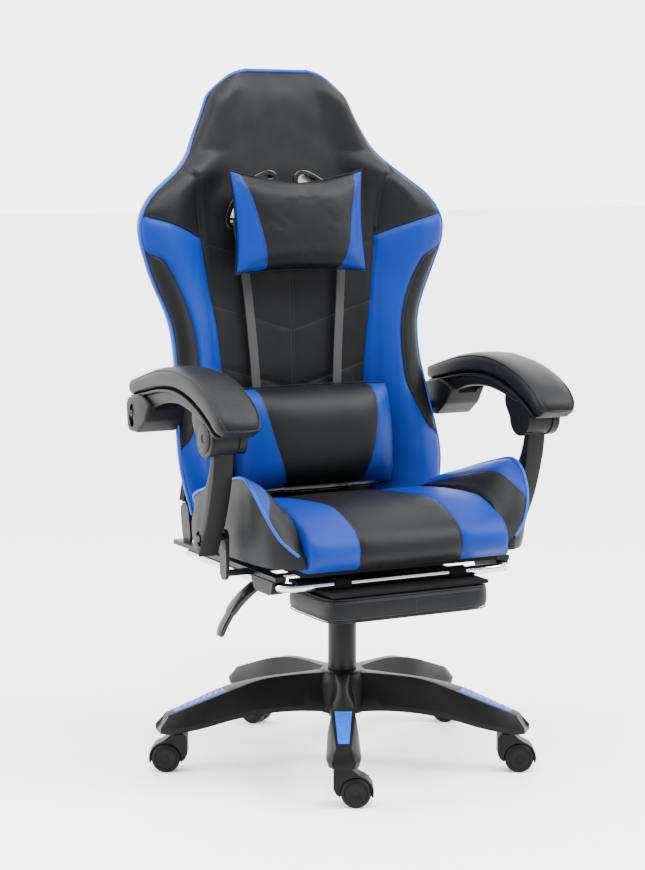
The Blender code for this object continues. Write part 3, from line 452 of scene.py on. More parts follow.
for number in range(1, LEGS + 1):
    finish_cad(f"caster_stem_{number}", plated)
    finish_cad(f"caster_hood_{number}", wheel_nylon)

# ---------------------------------------------------------------- gas lift
# A 50 mm powder-coated steel tube pressed into the hub. The gas spring's plated rod slides in its
# bore and wedges into the mechanism's cone.

powder = moulded("powder_coat", "black_steel", (0.003, 0.003, 0.0034), (0.006, 0.006, 0.0066), 0.36, 0.00010,
                 Specular_IOR_Level=0.14, Metallic=0.1)
BORE_RADIUS, ROD_RADIUS = 0.0147, 0.0140
sleeve = turned(((0.0, 0.305), (0.0225, 0.305), (0.0240, 0.3043), (0.0250, 0.3025),
                 (0.0250, 0.0760), (0.0240, 0.074), (0.0, 0.074)))
bore = turned(((0.0, 0.315), (BORE_RADIUS, 0.315), (BORE_RADIUS, 0.064), (0.0, 0.064)))
add_piece("gas_lift_sleeve", worked(sleeve, less(bore)), [powder], "base", ["gas_lift_tube"])
add_piece("gas_lift_rod", turned(((0.0, 0.346), (0.0128, 0.346), (ROD_RADIUS, 0.335), (ROD_RADIUS, 0.1015),
                                  (0.0125, 0.1000), (0.0, 0.1000))), [plated], "lift", ["gas_lift_piston"])

# ---------------------------------------------------------------- backrest cover
# Moulded foam on a bent steel tube, in a sewn cover of grained PU leather: black centre and head,
# blue side panels with a black crescent, and a bright blue piping round the whole outline.


def vinyl(name, record_slot, dark, light, roughness, **even):
    """Grained PU leather: pebbled cells, soft creases, and shinier worn patches."""
    finish = Finish(name, record_slot, **even)
    drift = finish.noise(5.0, 3.0)
    crease = finish.noise(26.0, 5.0, finish.stretched(1.0, 1.0, 0.55))
    jitter = finish.node("ShaderNodeTexNoise", None, {"Vector": finish.place, "Scale": 300.0}, "Color")
    wander = finish.node("ShaderNodeMix", {"data_type": "VECTOR"}, {0: 0.0022, 4: finish.place, 5: jitter}, 1)
    cell = finish.node("ShaderNodeTexVoronoi", {"feature": "DISTANCE_TO_EDGE"},
                       {"Vector": wander, "Scale": 620.0}, "Distance")
    pebble = cell.combined("MINIMUM", cell * 4.0, 1.0)
    pore = finish.noise(2100.0, 2.0)
    finish.feed(finish.shader, {
        "Base Color": finish.tinted(0.6 * drift + 0.25 * crease + 0.15 * pebble, dark, light),
        "Roughness": roughness + 0.12 * drift - 0.10 * pebble + 0.06 * crease})
    finish.raised(0.55 * pebble + 0.15 * pore + 1.4 * crease, 0.00035, 0.55)
    return finish


black_vinyl = vinyl("black_vinyl", "black_vinyl", (0.0020, 0.0023, 0.0028), (0.0042, 0.0046, 0.0054), 0.38,
                    Specular_IOR_Level=0.12)
blue_vinyl = vinyl("blue_vinyl", "blue_vinyl", (0.0002, 0.013, 0.125), (0.0006, 0.021, 0.185), 0.36,
                   Specular_IOR_Level=0.11)
piping_vinyl = vinyl("piping_vinyl", "blue_vinyl", (0.0005, 0.030, 0.24), (0.0010, 0.042, 0.32), 0.34,
                     Specular_IOR_Level=0.16)
thread_black = Finish("black_thread", "black_vinyl", Roughness=0.75)
twist = thread_black.noise(900.0, 2.0, thread_black.stretched(1.0, 1.0, 4.0))
thread_black.feed(thread_black.shader, {"Base Color": thread_black.tinted(twist, (0.003, 0.003, 0.0035),
                                                                        (0.010, 0.010, 0.011))})
thread_black.raised(twist, 0.0001)

BACK_LOW, BACK_HIGH = 0.4385, 1.208
HALF_WIDTH = ((0.44, 0.246), (0.52, 0.259), (0.62, 0.252), (0.70, 0.244), (0.77, 0.250), (0.86, 0.286),
              (0.93, 0.303), (0.98, 0.280), (1.03, 0.218), (1.06, 0.189), (1.12, 0.157), (1.17, 0.131),
              (1.20, 0.090), (1.21, 0.060))
PIPING_Y = ((0.44, 0.090), (0.52, 0.106), (0.61, 0.135), (0.70, 0.160), (0.82, 0.180), (0.93, 0.176),
            (1.02, 0.198), (1.08, 0.236), (1.17, 0.255), (1.21, 0.256))
CENTRE_Y = ((0.44, 0.150), (0.57, 0.181), (0.66, 0.189), (0.80, 0.197), (0.91, 0.2075), (1.05, 0.2255),
            (1.15, 0.240), (1.21, 0.256))
REAR_Y = ((0.44, 0.216), (0.57, 0.252), (0.66, 0.262), (0.80, 0.273), (0.91, 0.283), (1.05, 0.296),
          (1.15, 0.303), (1.21, 0.282))
# seams of the left half, as x at heights z
INNER_SEAM = ((0.44, 0.138), (0.60, 0.141), (0.671, 0.144), (0.744, 0.1515), (0.821, 0.164), (0.903, 0.175),
              (0.948, 0.1765), (0.969, 0.180), (1.003, 0.1845), (1.020, 0.192), (1.036, 0.205), (1.060, 0.150),
              (1.120, 0.115), (1.21, 0.050))
SIDE_CREASE = ((0.44, 0.157), (0.60, 0.160), (0.672, 0.163), (0.77, 0.1675), (0.841, 0.1745), (0.911, 0.183))
CRESCENT = ((0.44, 0.222), (0.53, 0.242), (0.549, 0.2545), (0.560, 0.243), (0.571, 0.2350), (0.602, 0.2215),
            (0.642, 0.207), (0.683, 0.2045), (0.719, 0.205), (0.749, 0.208), (0.79, 0.218), (0.82, 0.2300),
            (0.853, 0.247), (0.8775, 0.2660), (0.8905, 0.2930), (0.900, 0.285), (0.93, 0.260))
SHOULDER_RISE = ((0.178, 0.0), (0.211, 0.0145), (0.250, 0.0285), (0.292, 0.039), (0.32, 0.044))
SHOULDER_Z = 0.911
CRESCENT_LOW, CRESCENT_HIGH = 0.549, 0.8905
CHEVRON_Z = (0.637, 0.744, 0.851)
CHEVRON_SLOPE = 0.31
SWELL, SEAM_DENT, FINE_DENT, CREASE_DENT, SWAY = 0.0034, 0.0030, 0.0010, 0.0016, 0.0004
CORNER_Z = 1.173                  # where the outline turns from the side to the top


def along(keys, at):
    """The smooth curve through (position, value) keys, read at one position or at many."""
    place, value = np.array(keys, float).T
    slope = np.empty_like(value)
    slope[1:-1] = (value[2:] - value[:-2]) / (place[2:] - place[:-2])
    slope[0] = (value[1] - value[0]) / (place[1] - place[0])
    slope[-1] = (value[-1] - value[-2]) / (place[-1] - place[-2])
    at = np.asarray(at, float)
    i = np.clip(np.searchsorted(place, at) - 1, 0, len(place) - 2)
    span = place[i + 1] - place[i]
    t = np.clip((at - place[i]) / span, 0, 1)
    return ((2 * t ** 3 - 3 * t ** 2 + 1) * value[i] + (t ** 3 - 2 * t ** 2 + t) * span * slope[i]
            + (3 * t ** 2 - 2 * t ** 3) * value[i + 1] + (t ** 3 - t ** 2) * span * slope[i + 1])


def ramp(at, start, end):
    t = np.clip((np.asarray(at, float) - start) / (end - start), 0, 1)
    return t * t * (3 - 2 * t)


def outline_top(x):
    """Height of the outline above x, over the head."""
    heights = np.linspace(CORNER_Z, BACK_HIGH, 60)
    widths = along(HALF_WIDTH, heights)
    return np.interp(-np.abs(x), -widths, heights)


def column_edges(z):
    """x of the centre, the three sewing lines and the outline at heights z."""
    outer = along(HALF_WIDTH, z)
    inner = np.minimum(along(INNER_SEAM, z), outer * 0.965)
    crease = np.minimum(along(SIDE_CREASE, z), outer - 0.01)
    crease = crease + (inner + 0.25 * (outer - inner) - crease) * ramp(z, 0.900, 0.945)
    crescent = along(CRESCENT, z)
    crescent = crescent + (inner + 0.7 * (outer - inner) - crescent) * ramp(z, 0.905, 0.97)
    crescent = np.clip(crescent, crease + 0.2 * (outer - crease), outer - 0.0012)
    crease = np.clip(crease, inner + 0.0008, crescent - 0.0008)
    return np.stack([np.zeros_like(outer), inner, crease, crescent, outer])


COLUMN_STEPS = (24, 4, 12, 9)
half_columns = [(k, t) for k, steps in enumerate(COLUMN_STEPS) for t in np.arange(steps) / steps]
side_z = np.concatenate([np.linspace(BACK_LOW, SHOULDER_Z, 118)[:-1], np.linspace(SHOULDER_Z, CORNER_Z, 72)])


def sheet_plan():
    """x and z of every point of the left half: rows up the side, columns out to the outline."""
    xs, zs = [], []
    for k, t in half_columns + [(3, 1.0)]:
        z = side_z.copy()
        for _ in range(6):
            edges = column_edges(z)
            x = edges[k] + (edges[k + 1] - edges[k]) * t
            rise = np.interp(x, *np.array(SHOULDER_RISE).T)
            share = np.clip(x / along(HALF_WIDTH, side_z), 0, 1)
            top = (outline_top(share * along(HALF_WIDTH, CORNER_Z)) - CORNER_Z) * ramp(side_z, 0.985, CORNER_Z)
            z = side_z + rise * (ramp(side_z, 0.80, SHOULDER_Z) - ramp(side_z, SHOULDER_Z, 1.03)) + top
        if k == 3 and t == 1.0:
            x = along(HALF_WIDTH, z)
        xs.append(x)
        zs.append(z)
    return np.array(xs).T, np.array(zs).T


plan_x, plan_z = sheet_plan()


def reach(line, x, z):
    """Distance of points from a sewing line of (x, z) points."""
    line = np.array(line, float)
    found = np.full(np.shape(x), 9.0)
    for (ax, az), (bx, bz) in zip(line[:-1], line[1:]):
        dx, dz = bx - ax, bz - az
        t = np.clip(((x - ax) * dx + (z - az) * dz) / (dx * dx + dz * dz), 0, 1)
        found = np.minimum(found, np.hypot(x - ax - t * dx, z - az - t * dz))
    return found


def curve_line(keys, low, high, count=60):
    z = np.linspace(low, high, count)
    return np.stack([along(keys, z), z], 1)


inner_line = curve_line(INNER_SEAM, BACK_LOW, SHOULDER_Z)
shoulder_line = curve_line(INNER_SEAM, SHOULDER_Z, 1.036, 30)
crescent_line = curve_line(CRESCENT, CRESCENT_LOW, CRESCENT_HIGH, 80)
rise_x = np.linspace(0.178, 0.2975, 24)
blue_top_line = np.stack([rise_x, SHOULDER_Z + np.interp(rise_x, *np.array(SHOULDER_RISE).T)], 1)
chevron_lines = [np.array([(0.0, z), (0.162, z + 0.162 * CHEVRON_SLOPE)]) for z in CHEVRON_Z]
centre_line = np.array([(0.0, BACK_LOW), (0.0, 0.980)])


def front_y(x, z):
    """Depth of the cover's front at points of the left half."""
    x = np.abs(x)
    outer = along(HALF_WIDTH, np.minimum(z, CORNER_Z))
    piping, centre = along(PIPING_Y, z), along(CENTRE_Y, z)
    crest = np.minimum(piping, centre) - 0.012
    share = np.clip(x / outer, 0, 1)
    y = centre + (crest - centre) * ramp(share, 0.50, 0.86)
    roll = np.clip((share - 0.84) / 0.16, 0, 1)
    over = np.clip((z - outline_top(share * along(HALF_WIDTH, CORNER_Z)) + 0.045) / 0.045, 0, 1)
    roll = np.maximum(roll, over)
    y = y + (piping + 0.001 - y) * (1 - np.sqrt(np.maximum(1 - roll ** 2.2, 0)))
    main = np.minimum.reduce([reach(line, x, z) for line in (inner_line, shoulder_line, crescent_line,
                                                            blue_top_line)])
    fine = np.minimum.reduce([reach(line, x, z) for line in chevron_lines + [centre_line]])
    edge = (1 - share) * outer
    every = np.minimum(main, np.minimum(fine + 0.016, edge))
    swell = SWELL * (1 - np.exp(-every / 0.014)) * (1 - 0.6 * ramp(z, 1.02, 1.10))
    crease = np.abs(x - along(SIDE_CREASE, z))
    dent = (SEAM_DENT * np.exp(-(main / 0.0030) ** 2) + FINE_DENT * np.exp(-(fine / 0.0038) ** 2)
            + CREASE_DENT * np.exp(-(crease / 0.0050) ** 2) * (1 - ramp(z, 0.86, 0.91)))
    sway = SWAY * np.sin(x * 95 + z * 41) * np.sin(z * 67 - x * 30) * ramp(every, 0.004, 0.03)
    return y - swell + dent + sway


def rear_y(share, z):
    """Depth of the flat, softly rounded rear."""
    rear, piping = along(REAR_Y, z), along(PIPING_Y, z)
    rim = np.minimum(piping + 0.050, rear - 0.012)
    seam = np.exp(-((share - 0.60) / 0.020) ** 2) * 0.0022
    swell = 0.0015 * np.sin(np.pi * np.clip(share / 0.60, 0, 1))
    return rear + (rim - rear) * ramp(share, 0.45, 1.0) ** 1.6 - seam + swell * 0.5


def whole(half, sign):
    """Both halves of a left-half grid side by side; sign is -1 for x."""
    return np.concatenate([sign * half[:, :0:-1], half], 1)


front_x, front_z = whole(plan_x, -1), whole(plan_z, 1)
front_depth = whole(front_y(plan_x, plan_z), 1)
outer_half = plan_x[:, -1:]
rear_share = plan_x / outer_half
rear_depth = whole(rear_y(rear_share, plan_z), 1)
inset = 1 - 0.020 / np.maximum(outer_half, 0.06) * np.ones_like(plan_x)
rear_x = whole(plan_x * inset, -1)
drop = 0.006 * ramp(plan_z, 1.10, BACK_HIGH)
rear_z = whole(plan_z - drop, 1)
front_sheet = np.stack([front_x, front_depth, front_z], 2)
rear_sheet = np.stack([rear_x, rear_depth, rear_z], 2)
rows, columns = front_x.shape


def border(sheet):
    """The sheet's outline as one loop: up one side, over the top, down the other, back underneath."""
    return np.concatenate([sheet[:, -1], sheet[-1, -2::-1], sheet[-2::-1, 0], sheet[0, 1:-1]])


def border_numbers(first):
    grid = first + np.arange(rows * columns).reshape(rows, columns)
    return np.concatenate([grid[:, -1], grid[-1, -2::-1], grid[-2::-1, 0], grid[0, 1:-1]])


band_rows = []
front_loop, rear_loop = border(front_sheet), border(rear_sheet)
BAND_STEPS = 7
for step in range(1, BAND_STEPS):
    t = step / BAND_STEPS
    ring = front_loop + (rear_loop - front_loop) * t
    outward = front_loop * (1, 0, 1) - np.array([0, 0, 0.8])
    outward /= np.maximum(np.linalg.norm(outward, axis=1, keepdims=True), 1e-6)
    puff = 0.0055 * np.sin(pi * t) - 0.0015 * np.exp(-((t - 0.06) / 0.06) ** 2)
    low_part = ramp(front_loop[:, 2], BACK_LOW + 0.004, BACK_LOW + 0.03)[:, None]
    band_rows.append(ring + outward * puff * low_part)
points = np.concatenate([front_sheet.reshape(-1, 3), rear_sheet.reshape(-1, 3)] + band_rows)
loops = [border_numbers(0)]
for step in range(BAND_STEPS - 1):
    loops.append(2 * rows * columns + step * len(front_loop) + np.arange(len(front_loop)))
loops.append(border_numbers(rows * columns))
faces, looks = [], []
for first, rear_side in ((0, False), (rows * columns, True)):
    grid = first + np.arange(rows * columns).reshape(rows, columns)
    quads = np.stack([grid[:-1, :-1], grid[:-1, 1:], grid[1:, 1:], grid[1:, :-1]], 2).reshape(-1, 4)
    faces += quads.tolist()
    if rear_side:
        looks += [0] * len(quads)
        continue
    middle_x = np.abs(points[quads, 0].mean(1))
    middle_z = points[quads, 2].mean(1)
    side = middle_x > along(INNER_SEAM, middle_z)
    below = middle_z < SHOULDER_Z + np.interp(middle_x, *np.array(SHOULDER_RISE).T)
    crescent = ((middle_x > along(CRESCENT, middle_z)) & (middle_z > CRESCENT_LOW)
                & (middle_z < CRESCENT_HIGH + 0.002))
    looks += (side & below & ~crescent).astype(int).tolist()
for here, there in zip(loops[:-1], loops[1:]):
    strip = np.stack([here, np.roll(here, -1), np.roll(there, -1), there], 1)
    faces += strip.tolist()
    looks += [0] * len(strip)
cover_mesh = mesh_of(points, faces, looks)


# The two curved slots that the pillow's strap runs through, about one centre over the panel.
SLOT_CENTRE_Z, SLOT_IN, SLOT_OUT = 0.905, 0.1015, 0.1215
SLOT_FROM, SLOT_TO = radians(13) + 0.09, radians(76) - 0.09


def slot_ring(grow, steps=14, turns=7):
    middle, half = (SLOT_IN + SLOT_OUT) / 2, (SLOT_OUT - SLOT_IN) / 2 + grow
    ring = [(middle + half, SLOT_FROM + (SLOT_TO - SLOT_FROM) * i / steps) for i in range(steps + 1)]
    ring += [(middle + half * cos(pi * i / turns), SLOT_TO + half / middle * sin(pi * i / turns))
             for i in range(1, turns)]
    ring += [(middle - half, SLOT_TO + (SLOT_FROM - SLOT_TO) * i / steps) for i in range(steps + 1)]
    ring += [(middle - half * cos(pi * i / turns), SLOT_FROM - half / middle * sin(pi * i / turns))
             for i in range(1, turns)]
    return [(r * sin(a), r * cos(a)) for r, a in ring]


slot_lean = atan2(float(along(CENTRE_Y, 1.04) - along(CENTRE_Y, 0.92)), 0.12)
slot_centre_y = float(along(CENTRE_Y, SLOT_CENTRE_Z))


def slot_plug(grow, near, far, flip):
    """A slot-shaped plug square to the leaning panel, from depth near to depth far."""
    sign = -1 if flip else 1
    mesh = ring_mesh([[(sign * x, depth, z) for x, z in slot_ring(grow)] for depth in (near, far)])
    mesh.transform(Matrix.Translation((0, slot_centre_y, SLOT_CENTRE_Z)) @ Matrix.Rotation(-slot_lean, 4, "X"))
    return mesh


cover_mesh = worked(cover_mesh, less(slot_plug(0.0043, -0.05, 0.15, False)),
                    less(slot_plug(0.0043, -0.05, 0.15, True)))
cover = add_piece("back_cover", cover_mesh, [black_vinyl, blue_vinyl], "back", ["back_cushion"], crisp=60.0)

# bright piping sewn into the outline
edge_path = [(x, y, z) for (x, y, z) in border(front_sheet)[:2 * rows + columns - 2]]
piping_points = smooth_rows(edge_path[::6] + [edge_path[-1]], 4)
add_piece("back_piping", tube(piping_points, 0.0033, 10), [piping_vinyl], "back")


def stitches(path, pitch=0.0048, long=0.0034, thick=0.00045):
    """A row of sewing stitches lying along a path."""
    path = [Vector(p) for p in path]
    ahead = [0.0]
    for a, b in zip(path[:-1], path[1:]):
        ahead.append(ahead[-1] + (b - a).length)
    spots = np.arange(pitch / 2, ahead[-1] - pitch / 2, pitch)
    tables = np.array(path)
    made = []
    for spot in spots:
        ends = []
        for at in (spot - long / 2, spot, spot + long / 2):
            ends.append(Vector([float(np.interp(at, ahead, tables[:, k])) for k in range(3)]))
        heading = (ends[2] - ends[0]).normalized()
        across = heading.orthogonal().normalized()
        other = heading.cross(across)
        rings = []
        for end, size in ((ends[0], 0.45), (ends[0].lerp(ends[1], 0.35), 1.0), (ends[1].lerp(ends[2], 0.65), 1.0),
                          (ends[2], 0.45)):
            rings.append([end + thick * size * (cos(a) * across + sin(a) * other)
                          for a in (2 * pi * k / 5 for k in range(5))])
        made.append(rings)
    return made


def sewing_mesh(runs):
    """All the stitches of several runs as one mesh."""
    points, faces = [], []
    for rings in (r for run in runs for r in run):
        first = len(points)
        points += [p for ring in rings for p in ring]
        for r in range(len(rings) - 1):
            for c in range(5):
                d = (c + 1) % 5
                faces.append((first + r * 5 + c, first + r * 5 + d, first + r * 5 + 5 + d, first + r * 5 + 5 + c))
        faces.append(tuple(first + c for c in range(5)))
        faces.append(tuple(first + (len(rings) - 1) * 5 + c for c in range(5)))
    return mesh_of(points, faces)


THREAD_PROUD = 0.0002             # how far the thread stands off the cover


def on_front(line, aside):
    """Points of a sewing line laid on the cover's front, for both halves."""
    line = np.array(line, float)
    run = np.gradient(line, axis=0)
    run /= np.linalg.norm(run, axis=1, keepdims=True)
    x, z = line[:, 0] + aside * run[:, 1], line[:, 1] - aside * run[:, 0]
    y = front_y(x, z) - THREAD_PROUD
    return [np.stack([sign * x, y, z], 1) for sign in (1, -1)]


def dense(line, step=0.004):
    line = np.array(line, float)
    length = np.concatenate([[0], np.cumsum(np.linalg.norm(np.diff(line, axis=0), axis=1))])
    at = np.linspace(0, length[-1], max(int(length[-1] / step), 2))
    return np.stack([np.interp(at, length, line[:, k]) for k in range(line.shape[1])], 1)


runs = []
for line, aside in ([(inner_line, -0.003), (shoulder_line, 0.003), (crescent_line, 0.003),
                     (blue_top_line, -0.003), (centre_line, 0.0026)] + [(line, 0.0026) for line in chevron_lines]):
    for path in on_front(dense(line), aside):
        inside = np.abs(path[:, 0]) < along(HALF_WIDTH, path[:, 2]) - 0.006
        runs.append(stitches(path[inside]))
add_piece("back_stitching", sewing_mesh(runs), [thread_black], "back")

# ---------------------------------------------------------------- slot bezels
# Glossy moulded plastic frames snapped into the two strap slots from the front. A flange holds
# each on the panel, and its walls line the slot through the foam.

gloss = moulded("gloss_plastic", "gloss_plastic", (0.003, 0.0032, 0.0036), (0.005, 0.0052, 0.0056), 0.18, 0.00002,
                Specular_IOR_Level=0.30)
for name, flip in (("left", False), ("right", True)):
    body_mesh = slot_plug(0.0040, -0.0020, 0.0770, flip)
    flange = worked(slot_plug(0.0105, -0.0058, -0.0005, flip), eased(0.0022, 3, 40.0))
    bezel = worked(flange, plus(body_mesh), less(slot_plug(0.0012, -0.03, 0.10, flip)), eased(0.0007, 2, 50.0))
    add_piece(f"slot_frame_{name}", bezel, [gloss], "back", [f"slot_bezel_{name}"])

# ---------------------------------------------------------------- head pillow and lumbar pillow
# Two loose cushions, each two panels sewn round the edge over fibre filling: a black middle and
# blue ends. The straps hold both against the backrest.


def stuff(piece, held, pressure, frames, cap, stiffness):
    """Let the cover fill out under pressure. Held points stay, and none moves further than cap."""
    before = np.array([v.co for v in piece.data.vertices])
    cloth = piece.modifiers.new("filling", "CLOTH")
    if len(held):
        group = piece.vertex_groups.new(name="held")
        group.add([int(i) for i in held], 1.0, "REPLACE")
        cloth.settings.vertex_group_mass = "held"
    cloth.settings.quality = 4
    cloth.settings.mass = 0.3
    cloth.settings.tension_stiffness = stiffness
    cloth.settings.compression_stiffness = stiffness
    cloth.settings.shear_stiffness = stiffness * 0.6
    cloth.settings.bending_stiffness = 0.25
    cloth.settings.use_pressure = True
    cloth.settings.uniform_pressure_force = pressure
    cloth.settings.effector_weights.gravity = 0.0
    cloth.collision_settings.use_collision = False
    cloth.point_cache.frame_start = 1
    cloth.point_cache.frame_end = frames
    scene = bpy.context.scene
    for step in range(1, frames + 1):
        scene.frame_set(step)
    graph = bpy.context.evaluated_depsgraph_get()
    swollen = piece.evaluated_get(graph).to_mesh()
    after = np.array([v.co for v in swollen.vertices])
    piece.evaluated_get(graph).to_mesh_clear()
    piece.modifiers.remove(cloth)
    piece.vertex_groups.clear()
    scene.frame_set(1)
    move = after - before
    far = np.linalg.norm(move, axis=1, keepdims=True)
    move *= np.minimum(1.0, cap / np.maximum(far, 1e-9))
    piece.data.vertices.foreach_set("co", (before + move).ravel())
    piece.data.update()


def pillow_mesh(width, height, seam, thick, columns, rows, waist, dip, power):
    """Two panels joined round the edge, with colour seams; v runs from -1 to 1 up the panel.

    seam gives the seam's share of the half width at v, waist how far the sides draw in, dip how far
    the lower and upper edges sag, and power how full the pillow is."""
    us = [(k, t) for k, steps in enumerate(columns) for t in np.arange(steps) / steps] + [(2, 1.0)]
    v = np.linspace(-1, 1, rows)
    grid = np.empty((rows, len(us), 2))
    for c, (k, t) in enumerate(us):
        s = seam(v)
        edges = [-np.ones(rows), -s, s, np.ones(rows)]
        u = edges[k] + (edges[k + 1] - edges[k]) * t
        grid[:, c, 0] = u * width / 2 * (1 - waist * (1 - v ** 2) * np.abs(u) ** 3)
        grid[:, c, 1] = v * height / 2 * (1 - np.where(v > 0, dip[1], dip[0]) * (1 - u ** 2) * np.abs(v) ** 2)
    u_share = np.abs(grid[..., 0]) / np.abs(grid[:, -1:, 0])
    deep = thick * ((1 - np.clip(u_share, 0, 1) ** power) * (1 - np.abs(v[:, None]) ** power)) ** 0.55
    front = np.stack([grid[..., 0], -deep, grid[..., 1]], 2).reshape(-1, 3)
    rear = np.stack([grid[..., 0], deep, grid[..., 1]], 2).reshape(-1, 3)
    n = len(us)
    number = np.arange(rows * n).reshape(rows, n)
    behind = number + rows * n
    rim = np.zeros((rows, n), bool)
    rim[0], rim[-1], rim[:, 0], rim[:, -1] = True, True, True, True
    behind[rim] = number[rim]
    faces, looks = [], []
    for sheet in (number, behind):
        for r in range(rows - 1):
            for c in range(n - 1):
                faces.append((sheet[r, c], sheet[r, c + 1], sheet[r + 1, c + 1], sheet[r + 1, c]))
                looks.append(0 if us[c][0] == 1 else 1)
    every = np.concatenate([front, rear])
    used = sorted(set(i for face in faces for i in face))
    new = {old: i for i, old in enumerate(used)}
    mesh = mesh_of(every[used], [tuple(new[i] for i in face) for face in faces], looks)
    seam_columns = [columns[0], columns[0] + columns[1]]
    seam_points = [[new[number[r, c]] for r in range(rows)] for c in seam_columns]
    seam_points += [[new[behind[r, c]] for r in range(rows)] for c in seam_columns]
    rim_points = [new[i] for i in list(number[0]) + list(number[1:, -1]) + list(number[-1, -2::-1])
                  + list(number[-2:0:-1, 0])]
    return mesh, seam_points, rim_points


def pillow(name, node, plan, place, lean, sim):
    """Sew, fill, fit to its place, and add the edge welt and the stitching."""
    mesh, seam_points, rim_points = pillow_mesh(**plan)
    piece = bpy.data.objects.new(name, mesh)
    bpy.context.scene.collection.objects.link(piece)
    stuff(piece, (), **sim)
    bpy.data.objects.remove(piece)
    centre, half = place
    at = np.array([v.co for v in mesh.vertices])
    low, high = at.min(0), at.max(0)
    at = (at - (low + high) / 2) / ((high - low) / 2) * np.array(half)
    turn = np.array(Matrix.Rotation(-lean, 3, "X"))
    at = at @ turn.T + np.array(centre)
    seams = [at[line] for line in seam_points]
    for line in seam_points:
        pull = (at.mean(0) - at[line])
        pull /= np.linalg.norm(pull, axis=1, keepdims=True)
        at[line] += pull * 0.0014
    mesh.vertices.foreach_set("co", at.ravel())
    fine = worked(mesh, ("SUBSURF", {"levels": 1}))
    made = add_piece(name, fine, [black_vinyl, blue_vinyl], "back", [node], crisp=180.0)
    rim = at[rim_points]
    loop = np.concatenate([rim, rim[:2]])
    add_piece(f"{name}_welt", tube(smooth_rows(loop[::2], 3), 0.0014, 8), [black_vinyl], "back")
    sewn = []
    for line in seams[:2]:
        away = (line - at.mean(0))
        away /= np.linalg.norm(away, axis=1, keepdims=True)
        middle = line[3:-3] + away[3:-3] * 0.0004
        sewn.append(stitches(dense(middle)))
    add_piece(f"{name}_stitching", sewing_mesh(sewn), [thread_black], "back")
    return made


pillow("head_cushion", "head_pillow",
       dict(width=0.30, height=0.205, seam=lambda v: 0.72 + 0.16 * v, thick=0.040,
            columns=(9, 34, 9), rows=38, waist=0.07, dip=(0.12, 0.27), power=2.6),
       ((0, 0.1640, 0.9390), (0.1330, 0.0400, 0.0920)), radians(7.0),
       dict(pressure=4.0, frames=8, cap=0.005, stiffness=14.0))
pillow("lumbar_cushion", "lumbar_pillow",
       dict(width=0.33, height=0.20, seam=lambda v: 0.60 + 0.14 * v + 0.05 * (1 - v ** 2), thick=0.058,
            columns=(12, 34, 12), rows=36, waist=-0.02, dip=(-0.03, -0.03), power=3.4),
       ((0, 0.1120, 0.5570), (0.1590, 0.0610, 0.0940)), radians(8.0),
       dict(pressure=3.0, frames=3, cap=0.0015, stiffness=16.0))

# ---------------------------------------------------------------- pillow straps
# 17 mm woven elastic webbing with sewn edges, one each side: down the front panel, through a
# slot, down the rear and back under the cushion.

webbing = Finish("elastic_webbing", "elastic_webbing", Roughness=0.85, Sheen_Weight=0.25)
rib = webbing.node("ShaderNodeTexWave", {"bands_direction": "Z"},
                   {"Vector": webbing.place, "Scale": 260.0, "Distortion": 0.4}, "Fac")
cross = webbing.node("ShaderNodeTexWave", {"bands_direction": "X"},
                     {"Vector": webbing.place, "Scale": 420.0, "Distortion": 0.3}, "Fac")
weave = 0.6 * rib + 0.4 * cross
webbing.feed(webbing.shader, {"Base Color": webbing.tinted(weave, (0.004, 0.004, 0.0045), (0.012, 0.012, 0.013))})
webbing.raised(weave, 0.0003)

STRAP_PATH = ((0.0815, 0.1735, 0.6400), (0.0860, 0.1780, 0.7200), (0.0950, 0.1850, 0.8300),
              (0.1030, 0.1980, 0.9120), (0.1040, 0.2030, 0.9370), (0.1040, 0.2065, 0.9435),
              (0.1040, 0.2130, 0.9450), (0.1040, 0.2500, 0.9405), (0.1040, 0.2860, 0.9358),
              (0.1040, 0.2935, 0.9330), (0.1035, 0.2945, 0.9260), (0.0950, 0.2830, 0.8200),
              (0.0870, 0.2735, 0.7000), (0.0840, 0.2640, 0.5900), (0.0830, 0.2420, 0.4900),
              (0.0830, 0.2270, 0.4450), (0.0830, 0.2130, 0.4345), (0.0830, 0.1480, 0.4345),
              (0.0830, 0.1390, 0.4440), (0.0830, 0.1500, 0.4800))
# across and through the webbing, in metres: a thicker sewn edge on each side
STRAP_SECTION = ((0.0086, 0.0), (0.0080, 0.0010), (0.0066, 0.0010), (0.0060, 0.0006), (-0.0060, 0.0006),
                 (-0.0066, 0.0010), (-0.0080, 0.0010), (-0.0086, 0.0), (-0.0080, -0.0010), (0.0080, -0.0010))
strap_path = smooth_rows(STRAP_PATH, 6)
for name, sign in (("left", 1), ("right", -1)):
    rings = []
    for i, point in enumerate(strap_path):
        heading = Vector(strap_path[min(i + 1, len(strap_path) - 1)] - strap_path[max(i - 1, 0)]).normalized()
        across = (Vector((1, 0, 0)) - heading * heading.x).normalized()
        out = heading.cross(across)
        rings.append([tuple(v * (sign if k == 0 else 1) for k, v in enumerate(Vector(point) + across * s + out * t))
                      for s, t in STRAP_SECTION])
    add_piece(f"webbing_{name}", ring_mesh(rings), [webbing], "back", [f"strap_{name}"])

# ---------------------------------------------------------------- seat cushion
# A thick foam pad on a plywood board: one black and two blue strips sewn together, rolled down
# over the front edge and stapled underneath.

